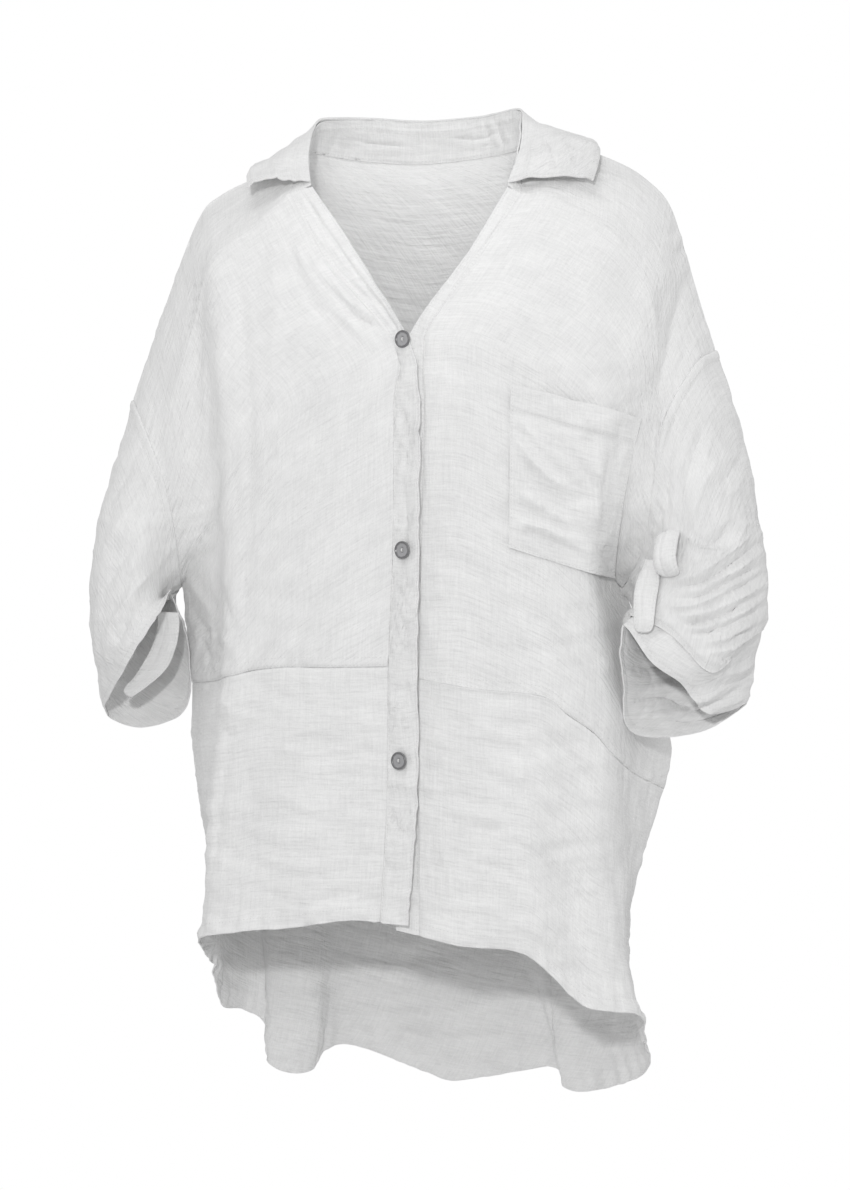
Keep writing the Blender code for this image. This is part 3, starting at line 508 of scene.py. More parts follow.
# main creases: side, points (x, z), half width, height and, on crisp ones, how soon
# they fade
creases = {
    "frontUpperRight": [
        ("side", [(-206, -346), (-207, -385), (-208, -424)], 15, 6),
        ("front", [(-85, -70), (-48, -108), (-25, -118)], 4.5, 4.0, 0.25),
        ("front", [(-68, -88), (-44, -117), (-15, -129)], 3, -3.4, 0.25),
        ("front", [(-96, -62), (-70, -101), (-38, -134), (-12, -150)], 4, 3.0, 0.3),
        ("front", [(-104, -50), (-88, -96), (-56, -136)], 3.5, -2.4, 0.3),
        ("front", [(-150, -72), (-141, -118), (-132, -192), (-130, -252), (-133, -312), (-138, -402)],
         5, -2.4, 0.2),
        ("front", [(-172, -71), (-176, -150), (-177, -240)], 7, 1.8, 0.3),
        ("front", [(-146, -222), (-140, -290), (-142, -352)], 6, -1.6, 0.3),
        ("front", [(-120, -40), (-112, -120), (-116, -210)], 9, 1.4, 0.3),
        ("front", [(-60, -150), (-52, -240), (-60, -330)], 11, 1.3, 0.3),
        ("front", [(-165, -340), (-150, -362), (-139, -392)], 4, -1.6, 0.3),
        ("front", [(-172, -372), (-152, -388), (-138, -408)], 4, 1.8, 0.3),
        ("front", [(-206, -330), (-188, -352), (-170, -376)], 5, 1.8, 0.3),
        ("front", [(-204, -352), (-184, -380), (-166, -398)], 4, -1.8, 0.3),
        ("front", [(-186, -370), (-175, -379), (-178, -396)], 3, 2.4, 0.25),
        ("front", [(-172, -386), (-160, -400), (-166, -414)], 3, -2.4, 0.25),
        ("front", [(-190, -386), (-182, -398), (-186, -412)], 3, -2.2, 0.25),
        ("front", [(-164, -378), (-152, -386), (-140, -388)], 3, 2.0, 0.25),
        ("front", [(-178, -404), (-166, -412), (-152, -414)], 3, 2.2, 0.25),
        ("front", [(-198, -372), (-192, -388), (-196, -404)], 3, 2.0, 0.25),
    ],
    "frontLowerRight": [
        ("front", [(-146, -457), (-154, -498), (-160, -534), (-166, -586)], 5, -2.4, 0.2),
        ("front", [(-160, -430), (-146, -446), (-118, -452)], 4, 1.6, 0.3),
        ("front", [(-165, -446), (-152, -462), (-140, -466)], 4, -1.6, 0.3),
        ("front", [(-120, -470), (-80, -478), (-34, -472)], 4, 1.0, 0.3),
        ("front", [(-110, -520), (-70, -532), (-28, -524)], 4, -1.1, 0.3),
        ("front", [(-135, -560), (-90, -572), (-40, -566)], 4, 1.2, 0.3),
        ("front", [(-125, -592), (-84, -600), (-36, -592)], 3.5, -1.0, 0.3),
    ],
    "frontUpperLeft": [
        ("side", [(172, -346), (175, -370), (180, -410)], 14, 6),
        ("front", [(224, -70), (218, -107), (213, -133), (211, -149), (204, -184), (199, -252), (197, -275)],
         4, -2.2, 0.15),
        ("front", [(120, -20), (126, -80), (120, -160)], 9, 1.6, 0.3),
        ("front", [(60, -90), (66, -160), (60, -250)], 12, 1.3, 0.3),
        ("front", [(188, -270), (176, -300), (170, -330), (172, -372)], 5, 2.0, 0.3),
        ("front", [(178, -330), (158, -352), (128, -362)], 5, -1.8, 0.3),
        ("front", [(176, -352), (150, -378), (112, -386)], 5, 1.8, 0.3),
        ("front", [(178, -385), (150, -402), (120, -408)], 4, -1.5, 0.3),
        ("front", [(70, -340), (110, -352), (140, -346)], 6, 1.2, 0.3),
        ("front", [(176, -385), (178, -430), (181, -470)], 5, 2.4, 0.3),
        ("front", [(36, -380), (80, -392), (116, -396)], 4, -1.0, 0.3),
    ],
    "frontLowerLeft": [
        ("front", [(178, -480), (181, -515), (183, -556), (190, -592), (192, -640)], 5, 2.4, 0.2),
        ("front", [(100, -446), (124, -468), (150, -500), (164, -540)], 5, -1.8, 0.25),
        ("front", [(40, -446), (72, -458), (108, -478), (132, -506)], 5, 1.5, 0.25),
        ("front", [(28, -478), (70, -494), (112, -520), (146, -560)], 5, -1.3, 0.25),
        ("front", [(30, -520), (76, -534), (118, -562), (154, -604)], 5, 1.5, 0.25),
        ("front", [(34, -560), (80, -572), (122, -600), (160, -640)], 4.5, -1.4, 0.25),
        ("front", [(28, -596), (70, -604), (108, -622), (140, -650)], 4, 1.2, 0.25),
        ("front", [(160, -560), (172, -600), (176, -650)], 4, -1.8, 0.25),
    ],
    "backUpper": [
        ("back", [(-150, -60), (-130, -200), (-136, -360)], 8, 2.2, 0.3),
        ("back", [(150, -60), (136, -210), (150, -380)], 8, 2.2, 0.3),
        ("back", [(-190, -250), (-150, -330), (-120, -420)], 6, -2.0, 0.3),
        ("back", [(176, -250), (140, -340), (110, -430)], 6, -2.0, 0.3),
        ("back", [(-70, -120), (-10, -136), (50, -122)], 7, 1.4, 0.3),
        ("back", [(-90, -300), (-20, -316), (60, -306)], 5, -1.2, 0.3),
        ("back", [(-60, -400), (10, -412), (80, -402)], 5, 1.2, 0.3),
    ],
    "backLower": [
        ("back", [(94, -640), (97, -690), (96, -757)], 8, 3.0, 0.3),
        ("back", [(-150, -520), (-128, -600), (-120, -700)], 7, -2.4, 0.3),
        ("back", [(-60, -540), (-50, -640), (-64, -740)], 9, 2.4, 0.3),
        ("back", [(20, -560), (34, -660), (24, -760)], 9, -2.2, 0.3),
        ("back", [(140, -560), (150, -650), (140, -760)], 7, 2.6, 0.3),
        ("back", [(-90, -700), (-30, -712), (40, -702)], 4, 1.3, 0.3),
        ("back", [(-70, -728), (0, -738), (70, -730)], 4, -1.3, 0.3),
        ("back", [(-100, -660), (-40, -672), (30, -664)], 4, 1.2, 0.3),
        ("back", [(40, -690), (80, -700), (130, -694)], 4, -1.2, 0.3),
    ],
    "sleeveRight": [
        ("front", [(-212, -319), (-238, -352), (-263, -386)], 5, 2.4, 0.3),
        ("front", [(-224, -294), (-248, -322), (-267, -353)], 6, -2.2, 0.3),
        ("front", [(-232, -262), (-252, -290), (-272, -320)], 7, 2.0, 0.3),
        ("front", [(-238, -232), (-252, -252), (-268, -276)], 6, -1.6, 0.3),
        ("front", [(-222, -350), (-244, -384), (-260, -418)], 5, -2.0, 0.3),
        ("front", [(-272, -372), (-270, -404), (-264, -440)], 4, 1.8, 0.3),
        ("front", [(-278, -350), (-276, -390), (-270, -430)], 3.5, -1.6, 0.3),
        ("back", [(-216, -330), (-244, -360), (-268, -396)], 7, 2.2, 0.3),
        ("back", [(-228, -290), (-252, -320), (-272, -350)], 7, -2.2, 0.3),
        ("back", [(-222, -380), (-240, -410), (-256, -440)], 6, 1.8, 0.3),
    ],
    "sleeveLeft": [
        ("front", [(205, -270), (206, -292), (203, -312)], 3, -3.0, 0.2),
        ("front", [(176, -306), (180, -326), (183, -346)], 5, 4.0, 0.3),
        ("front", [(226, -300), (242, -310), (262, -313)], 4, 3.0, 0.25),
        ("front", [(206, -336), (232, -335), (258, -318), (286, -292)], 4.5, 3.6, 0.2),
        ("front", [(212, -343), (246, -336), (272, -318), (290, -300)], 2.4, -3.2, 0.15),
        ("front", [(240, -343), (266, -330), (290, -310)], 2.6, 2.8, 0.3),
        ("front", [(218, -351), (240, -349), (268, -336), (294, -318)], 2.4, -3.0, 0.2),
        ("front", [(214, -358), (236, -357), (262, -346)], 3.4, 2.8, 0.3),
        ("front", [(256, -349), (276, -340), (296, -324)], 2.2, -2.8, 0.2),
        ("front", [(222, -367), (248, -362), (276, -349), (298, -332)], 3, 3.2, 0.15),
        ("front", [(226, -373), (256, -367), (278, -355)], 2.2, -3.4, 0.2),
        ("front", [(250, -372), (276, -361), (298, -342)], 2.4, 2.8, 0.2),
        ("front", [(232, -381), (262, -375), (290, -357), (299, -349)], 2.2, -3.2, 0.15),
        ("front", [(240, -387), (262, -384), (284, -370)], 3, 2.6, 0.3),
        ("front", [(262, -385), (284, -374), (299, -360)], 2.2, -2.8, 0.2),
        ("front", [(246, -396), (270, -391), (299, -370)], 2.6, 2.8, 0.2),
        ("front", [(254, -401), (276, -397), (299, -380)], 2.2, -2.4, 0.2),
        ("front", [(228, -303), (244, -308), (258, -300), (262, -288)], 5, -3.0, 0.2),
        ("front", [(234, -322), (252, -318), (270, -300), (276, -284)], 5, 2.6, 0.2),
        ("front", [(222, -290), (226, -262), (236, -226), (242, -205)], 5, -2.8, 0.2),
        ("front", [(232, -292), (240, -262), (252, -236)], 6, 2.4, 0.2),
        ("front", [(204, -296), (202, -268), (206, -236), (214, -196)], 4, 2.8, 0.2),
        ("front", [(214, -288), (212, -262), (218, -228)], 4, -2.4, 0.2),
        ("front", [(252, -262), (268, -238), (270, -212)], 6, -2.0, 0.2),
        ("front", [(200, -312), (196, -328), (188, -346)], 4, -2.8, 0.2),
        ("front", [(192, -318), (186, -334), (184, -350)], 4, 2.4, 0.2),
        ("back", [(196, -330), (226, -356), (262, -372)], 5, 3.2, 0.25),
        ("back", [(206, -300), (240, -320), (276, -330)], 5, -3.2, 0.25),
        ("back", [(204, -250), (232, -280), (262, -300)], 6, 2.8, 0.25),
        ("back", [(216, -346), (244, -378), (270, -388)], 4, -2.8, 0.25),
        ("back", [(210, -270), (240, -300), (270, -316)], 5, -2.4, 0.25),
    ],
    "cuffLeft": [
        ("front", [(181, -438), (208, -436), (230, -446), (256, -434), (285, -414)], 4, -3.2, 0.2),
        ("front", [(184, -430), (210, -426), (232, -436), (258, -424)], 4.5, 3.0, 0.2),
        ("front", [(195, -451), (226, -446), (246, -438)], 4, 2.6, 0.2),
        ("front", [(206, -453), (230, -456), (266, -444)], 3.5, -2.4, 0.2),
        ("front", [(176, -408), (194, -416), (210, -432)], 4, -2.8, 0.2),
        ("front", [(176, -396), (190, -402), (204, -418)], 4, 2.4, 0.2),
        ("front", [(178, -378), (186, -388), (190, -402)], 3.5, -2.4, 0.2),
        ("front", [(252, -424), (272, -418), (288, -404)], 3.5, -2.6, 0.2),
        ("front", [(256, -414), (276, -408), (292, -392)], 3.5, 2.6, 0.2),
        ("back", [(181, -436), (208, -434), (230, -444), (256, -432), (284, -414)], 3.5, 3.6, 0.2),
        ("back", [(184, -428), (210, -424), (232, -433), (258, -424)], 3.5, -3.4, 0.2),
        ("back", [(195, -449), (226, -444), (246, -436)], 3, -3.2, 0.2),
        ("back", [(206, -452), (230, -454), (266, -444)], 3, 2.8, 0.2),
        ("back", [(186, -412), (204, -408), (226, -418)], 4, 2.8, 0.25),
    ],
    "collarStand": [
        ("back", [(44, 62), (47, 48), (44, 36)], 2.2, 1.7, 0.2),
        ("back", [(51, 62), (53, 50), (57, 38)], 2, -1.7, 0.2),
        ("back", [(58, 62), (57, 50), (62, 38)], 2.2, 1.9, 0.2),
        ("back", [(66, 64), (64, 52), (67, 40)], 2, -1.7, 0.2),
        ("back", [(-82, 50), (-50, 44), (-20, 42)], 2.5, 1.4, 0.3),
        ("back", [(10, 50), (36, 46), (60, 52)], 2.5, 1.4, 0.3),
    ],
    "collarLeaf": [
        ("front", [(-128, 18), (-118, 4), (-112, -8)], 3, 1.8, 0.2),
        ("front", [(-112, 30), (-104, 12), (-100, -4)], 3, -1.8, 0.2),
        ("front", [(-138, 4), (-126, 2), (-108, 6)], 2.5, 1.4, 0.3),
        ("front", [(92, 34), (96, 12), (94, -4)], 3, 1.5, 0.2),
        ("front", [(104, 40), (112, 20), (118, 4)], 3, -1.8, 0.2),
        ("front", [(122, 30), (128, 14), (134, 2)], 3, 1.7, 0.2),
        ("back", [(-60, 40), (-64, 24), (-58, 8)], 4, 1.6, 0.2),
        ("back", [(20, 40), (14, 24), (22, 8)], 4, -1.6, 0.2),
        ("back", [(90, 46), (96, 30), (104, 16)], 4, 1.6, 0.2),
    ],
    "bandRight": [
        ("front", [(-95, -12), (-60, -62), (-32, -98), (-6, -133)], 2, -2.2, 0.1),
        ("front", [(-8, -190), (2, -206), (11, -222)], 2.5, -2.2, 0.3),
        ("front", [(-9, -206), (0, -222), (8, -240)], 2.5, 1.9, 0.3),
        ("front", [(-10, -332), (0, -340), (10, -356)], 2.5, 2.1, 0.3),
        ("front", [(-12, -352), (-2, -366), (6, -384)], 2.5, -2.1, 0.3),
        ("front", [(0, -250), (3, -290), (-1, -330)], 3, -1.6, 0.3),
        ("front", [(-12, -440), (0, -452), (10, -456)], 2.5, 1.9, 0.3),
        ("front", [(-14, -520), (-4, -536), (8, -544)], 2.5, -2.1, 0.3),
        ("front", [(-16, -560), (-6, -568), (6, -566)], 2.5, 1.9, 0.3),
        ("front", [(-60, -82), (-40, -98), (-20, -112)], 2.5, -1.9, 0.3),
        ("front", [(-92, -30), (-78, -52), (-66, -64)], 2.5, 1.7, 0.3),
    ],
    "bandLeft": [
        ("front", [(80, -28), (62, -58), (42, -88)], 2.5, 1.5, 0.2),
        ("front", [(66, -56), (44, -82), (20, -114)], 2, -1.4, 0.2),
    ],
}

# seams, welts, hems and sunk stitch lines, in millimetres, but a welt's rise and fall in its widths; the
# cloth is calm this near a sewn edge and still at the edge itself
seamLook = {"groove": 0.6, "grooveWidth": 1.1, "welt": 0.9, "weltWidth": 8, "pucker": 1.3, "puckerReach": 7,
            "puckerSpacing": 8, "hemStep": 1.6, "hemPucker": 2.4, "sunk": 0.5, "sunkWidth": 1.4,
            "rollReach": 5, "calm": 5, "calmFrom": -3, "still": 2, "weltRise": 0.2,
            "weltFall": (1.15, 0.95), "hemTurn": (1.2, -0.4)}
# how soon creases fade where the cloth turns to the side
turnFade = 1.8


def puckers(grid, gaps, edge):
    line = {"top": grid[:1], "bottom": grid[-1:], "inner": grid[:, :1], "outer": grid[:, -1:]}[edge]
    wave = noiseAt(line, np.full(3, 1 / (seamLook["puckerSpacing"] * mm)), seeds["pucker"])
    reach = gaps[edge] / (seamLook["puckerReach"] * mm)
    return wave * reach * np.exp(1 - reach) * seamLook["pucker"] * mm


# one panel's fine surface: extra edge lines, creases, crinkle, grooved and puckered seams, hem
def finePanel(name, panel, grid, directions):
    closed = panel.get("closed", False)
    for axis in (0, 1):
        if axis == 0 or not closed:
            places = edgeLines(grid.shape[axis])
            grid, directions = resample(grid, places, axis), resample(directions, places, axis)
    directions = directions / np.linalg.norm(directions, axis=2, keepdims=True)
    gaps = edgeDistances(grid)
    facing = {"front": np.clip(-turnFade * directions[..., 1], 0, 1),
              "back": np.clip(turnFade * directions[..., 1], 0, 1),
              "side": np.clip(turnFade * np.abs(directions[..., 0]), 0, 1)}
    fall = gaps["top"] / np.maximum(gaps["top"][-1:], 1e-6)
    lively = panel["lively"][0] + (panel["lively"][1] - panel["lively"][0]) * fall
    height = creaseHeights(grid, facing, creases[name]) + crinkle(grid, lively)
    for edge in panel["sewn"]:
        height *= smoothStep(seamLook["calmFrom"] * mm, seamLook["calm"] * mm, gaps[edge])
        height *= smoothStep(0, seamLook["still"] * mm, gaps[edge])
    for edge in panel["sewn"]:
        height += puckers(grid, gaps, edge)
        height -= seamLook["groove"] * mm * np.exp(-(gaps[edge] / (seamLook["grooveWidth"] * mm)) ** 2)
    for edge in panel.get("welts", ()):
        reach = gaps[edge] / (seamLook["weltWidth"] * mm)
        rise = smoothStep(0, seamLook["weltRise"], reach)
        height += seamLook["welt"] * mm * rise * smoothStep(*seamLook["weltFall"], reach)
    for edge, inset in panel["stitches"]:
        away = (gaps[edge] - inset * mm) / (seamLook["sunkWidth"] * mm)
        height -= seamLook["sunk"] * mm * np.exp(-away ** 2)
    for edge, depth in panel.get("rolled", {}).items():
        height -= depth * mm * np.exp(-(gaps[edge] / (seamLook["rollReach"] * mm)) ** 2)
    if "hem" in panel:
        hem = panel["hem"] * mm
        start, end = (hem + turn * mm for turn in seamLook["hemTurn"])
        turned = seamLook["hemStep"] * mm * smoothStep(start, end, gaps["bottom"])
        turned += seamLook["hemPucker"] * puckers(grid, gaps, "bottom")
        height += turned * smoothStep(0, seamLook["calm"] * mm, np.minimum(gaps["inner"], gaps["outer"]))
    if name == "collarLeaf":
        height -= collar["curl"] * np.exp(-gaps["outer"] / collar["curlReach"])
        away = (gaps["outer"] - collar["ridgeInset"]) / collar["ridgeWidth"]
        height += collar["ridge"] * np.exp(-away ** 2)
        wave = noiseAt(grid, (38, 38, 38), seeds["collarWave"])
        wave = wave + 0.6 * noiseAt(grid, (80, 80, 80), seeds["collarRuffle"])
        height += collar["wave"] * (wave + 0.5) * smoothStep(0, 0.03, gaps["inner"])
    fine = grid + directions * height[..., None]
    return fine, directions, gaps


def gridMesh(name, grid, directions, gaps, closed, wall, material):
    rows, columns = grid.shape[:2]
    used = columns - 1 if closed else columns
    points = grid[:, :used].reshape(-1, 3)
    index = np.arange(rows * used).reshape(rows, used)
    beside = np.roll(index, -1, axis=1) if closed else index[:, 1:]
    here = index if closed else index[:, :-1]
    faces = np.stack([here[:-1], beside[:-1], beside[1:], here[1:]], axis=2).reshape(-1, 4)
    first = points[faces[:, 1]] - points[faces[:, 0]]
    second = points[faces[:, 3]] - points[faces[:, 0]]
    out = directions[:, :used].reshape(-1, 3)[faces[:, 0]]
    if (np.cross(first, second) * out).sum() < 0:
        faces = faces[:, ::-1]
    mesh = bpy.data.meshes.new(name)
    mesh.from_pydata(points.tolist(), [], faces.tolist())
    weave = mesh.attributes.new("weave", "FLOAT_VECTOR", "POINT")
    flat = np.stack([gaps["inner"], gaps["top"], np.zeros((rows, columns))], axis=2)[:, :used]
    weave.data.foreach_set("vector", flat.reshape(-1).astype(np.float32))
    mesh.materials.append(material)
    mesh.shade_smooth()
    piece = bpy.data.objects.new(name, mesh)
    bpy.context.scene.collection.objects.link(piece)
    shell = piece.modifiers.new("cloth wall", "SOLIDIFY")
    shell.thickness = wall
    shell.offset = -1
    return piece


# stitches along a line on the cloth: short spindles of thread that dip in at both ends
stitch = {"pitch": 3.1, "length": 2.3, "width": 0.42, "height": 0.34}
sewnPoints, sewnFaces = [], []


def sew(line, normals):
    run = np.concatenate([[0], np.cumsum(np.linalg.norm(np.diff(line, axis=0), axis=1))])
    starts = np.arange(0.5 * mm, run[-1] - stitch["length"] * mm, stitch["pitch"] * mm)
    if not len(starts):
        return

    def at(places, values):
        return np.column_stack([np.interp(places, run, values[:, axis]) for axis in range(3)])

    head, tail = at(starts, line), at(starts + stitch["length"] * mm, line)
    middle, out = at(starts + 0.5 * stitch["length"] * mm, line), at(starts, normals)
    out /= np.linalg.norm(out, axis=1, keepdims=True)
    side = np.cross(tail - head, out)
    side *= 0.5 * stitch["width"] * mm / np.maximum(np.linalg.norm(side, axis=1, keepdims=True), 1e-9)
    lift = out * stitch["height"] * mm
    corners = [head - 0.4 * lift, tail - 0.4 * lift, middle + side + 0.4 * lift, middle - side + 0.4 * lift,
               middle + lift, middle - 0.5 * lift]
    first = len(sewnPoints)
    sewnPoints.extend(np.stack(corners, axis=1).reshape(-1, 3).tolist())
    shape = [(0, 2, 4), (0, 4, 3), (0, 3, 5), (0, 5, 2), (1, 4, 2), (1, 3, 4), (1, 5, 3), (1, 2, 5)]
    sewnFaces.extend(tuple(first + 6 * number + corner for corner in face)
                     for number in range(len(starts)) for face in shape)


# the line at a given distance from one edge of a fine panel
def insetLine(grid, directions, gaps, edge, inset, trim=3):
    if edge in ("inner", "outer"):
        grid, directions, gap = (array.swapaxes(0, 1) for array in (grid, directions, gaps[edge]))
    else:
        gap = gaps[edge]
    if edge in ("bottom", "outer"):
        grid, directions, gap = grid[::-1], directions[::-1], gap[::-1]

    def at(column, values):
        return [np.interp(inset * mm, gap[:, column], values[:, column, axis]) for axis in range(3)]

    columns = [column for column in range(grid.shape[1]) if gap[-1, column] > inset * mm][trim:-trim]
    return (np.array([at(column, grid) for column in columns]),
            np.array([at(column, directions) for column in columns]))


# arithmetic on sockets: each operator adds its own Math node
class Wire:
    def __init__(self, finish, socket):
        self.finish, self.socket = finish, socket

    def combine(self, operation, first, second):
        return self.finish.node("ShaderNodeMath", {"operation": operation}, {0: first, 1: second})

    def __add__(self, other):
        return self.combine("ADD", self, other)

    def __sub__(self, other):
        return self.combine("SUBTRACT", self, other)

    def __rsub__(self, other):
        return self.combine("SUBTRACT", other, self)

    def __mul__(self, other):
        return self.combine("MULTIPLY", self, other)

    __radd__ = __add__
    __rmul__ = __mul__


class Finish:
    def __init__(self, name, **constants):
        self.material = bpy.data.materials.new(name)
        self.material.use_nodes = True
        self.tree = self.material.node_tree
        self.shader = self.tree.nodes["Principled BSDF"]
        for socket, value in constants.items():
            self.shader.inputs[socket.replace("_", " ")].default_value = value

    def node(self, kind, settings=None, sockets=None, output=0):
        made = self.tree.nodes.new(kind)
        for setting, value in (settings or {}).items():
            if setting == "stops":
                for place, (position, colour) in enumerate(value):
                    stop = made.color_ramp.elements
                    stop = stop[place] if place < len(stop) else stop.new(position)
                    stop.position, stop.color = position, colour
            else:
                setattr(made, setting, value)
        for socket, value in (sockets or {}).items():
            if isinstance(value, Wire):
                self.tree.links.new(value.socket, made.inputs[socket])
            else:
                made.inputs[socket].default_value = value
        return Wire(self, made.outputs[output])

    def feed(self, socket, wire):
        self.tree.links.new(wire.socket, self.shader.inputs[socket])

    # noise stretched along the cloth's threads: scale gives cells per metre across and down
    def threads(self, place, across, down, detail=2.0):
        scaled = self.node("ShaderNodeMapping", {}, {"Vector": place, "Scale": (across, down, 1.0)})
        return self.node("ShaderNodeTexNoise", {}, {"Vector": scaled, "Scale": 1.0, "Detail": detail})


# the linen's colours along its weave, how strong and deep its two bumps are, and its threads, slubs and
# crush lines as cells per metre across and down
clothLook = {"stops": [(0.38, (0.80, 0.80, 0.80, 1)), (0.60, (0.94, 0.94, 0.937, 1))],
             "weave": 0.65, "weaveDepth": 0.0008, "crush": 1.1, "crushDepth": 0.0022,
             "slub": (620, 40), "thread": (1500, 260), "cloud": (22, 30),
             "flat": (38, 230), "upright": (190, 24)}


def linenFinish(name, look):
    finish = Finish(name, Roughness=0.9, Sheen_Weight=0.35, Sheen_Roughness=0.6, Specular_IOR_Level=0.15)
    place = finish.node("ShaderNodeAttribute", {"attribute_name": "weave"}, {}, "Vector")
    warp = finish.threads(place, *look["slub"])
    weft = finish.threads(place, *look["slub"][::-1])
    fineWarp = finish.threads(place, *look["thread"], 1.0)
    fineWeft = finish.threads(place, *look["thread"][::-1], 1.0)
    weave = warp * 0.3 + weft * 0.3 + fineWarp * 0.2 + fineWeft * 0.2
    cloudy = finish.threads(place, *look["cloud"], 4.0)
    flat = finish.threads(place, *look["flat"], 4.0)
    upright = finish.threads(place, *look["upright"], 3.0)
    crush = flat * 0.6 + upright * 0.4
    tone = weave * 0.75 + cloudy * 0.25
    finish.feed("Base Color", finish.node("ShaderNodeValToRGB", {"stops": look["stops"]}, {"Fac": tone}))
    folds = finish.node("ShaderNodeBump", {}, {"Strength": look["crush"], "Distance": look["crushDepth"],
                                                "Height": crush})
    bump = finish.node("ShaderNodeBump", {}, {"Strength": look["weave"], "Distance": look["weaveDepth"],
                                               "Height": weave, "Normal": folds})
    finish.feed("Normal", bump)
    return finish.material


linenMaterial = linenFinish("whiteLinen", clothLook)
# white thread, its colour set darker than the cloth to paint shade along the stitch lines
threadPaintedShadeMaterial = Finish("whiteThreadPaintedShade", Base_Color=(0.74, 0.74, 0.735, 1), Roughness=0.7).material


# the flat cut of what shows: a strip that narrows counts with its mean width
def declareCloth(piece, node, base):
    gaps = edgeDistances(base)
    width, length = float(gaps["inner"][:, -1].max()), float(gaps["top"][-1].max())
    first, second = base[1:, 1:] - base[:-1, :-1], base[:-1, 1:] - base[1:, :-1]
    area = float(np.linalg.norm(np.cross(first, second), axis=2).sum() / 2)
    if area < 0.35 * width * length:
        print(f"{piece.name}: narrow against its widest place {width:.3f} m")
        width = area / length
    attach(piece, "root")
    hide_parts(node)
    print(f"{piece.name}: flat {width:.3f} x {length:.3f} m, {area:.4f} square metres")


directions = outwardDirections(net)
for name, panel in panels.items():
    base = net[name]
    fine, out, gaps = finePanel(name, panel, base, directions[name])
    wall = panel.get("wall", linen["wall"] / mm) * mm
    piece = gridMesh(name, fine, out, gaps, panel.get("closed", False), wall, linenMaterial)
    declareCloth(piece, panel["node"], base)
    for edge, inset in panel["stitches"]:
        line, normals = insetLine(fine, out, gaps, edge, inset)
        if panel.get("inside"):
            line, normals = line - normals * wall, -normals
        sew(line, normals)
print("panels made")


# the pocket is the left front's own surface moved out, with a slack belly and soft wrinkles; its top is
# folded in, with a step and a sunk line below it. Lengths are in millimetres.
pocket = {"corners": {"topInner": (87, -177), "topOuter": (189, -204), "bottomInner": (86, -310),
                      "bottomOuter": (162, -335)},
          "cells": 64, "gap": 0.9, "puff": 3.4, "cornerLift": 2.0, "calm": 12, "creased": 1.35, "lively": 1.2,
          "rise": 0.9, "pucker": 0.8, "foldDepth": 20, "foldStep": 1.3, "foldTurn": (1.5, -0.4),
          "sunk": 2.2, "sunkInset": 3, "sunkWidth": 2.2, "stitchInset": 1.8,
          "wrinkles": [
              ("front", [(88, -208), (98, -222), (110, -236), (126, -247)], 4, -3.2, 0.25),
              ("front", [(90, -222), (106, -242), (124, -258), (140, -264)], 5, 2.8, 0.25),
              ("front", [(92, -258), (106, -262), (120, -276), (140, -284)], 4.5, -3.4, 0.25),
              ("front", [(90, -268), (112, -276), (134, -292)], 6, 3.0, 0.25),
              ("front", [(96, -292), (112, -304), (132, -314), (150, -322)], 4.5, -3.8, 0.25),
              ("front", [(90, -290), (108, -294), (130, -302), (148, -306)], 5, 2.6, 0.25),
              ("front", [(120, -222), (136, -236), (150, -252), (158, -268)], 4, -2.2, 0.25),
              ("front", [(166, -222), (165, -252), (160, -300)], 4.5, -2.4, 0.25),
              ("front", [(158, -228), (156, -262), (152, -300)], 5, 2.2, 0.25),
              ("front", [(172, -204), (174, -222), (170, -240)], 3.5, -2.4, 0.25),
              ("front", [(124, -190), (126, -200), (124, -208)], 4, 1.2, 0.25),
              ("front", [(150, -198), (150, -210), (146, -222)], 4, 1.6, 0.25),
          ]}


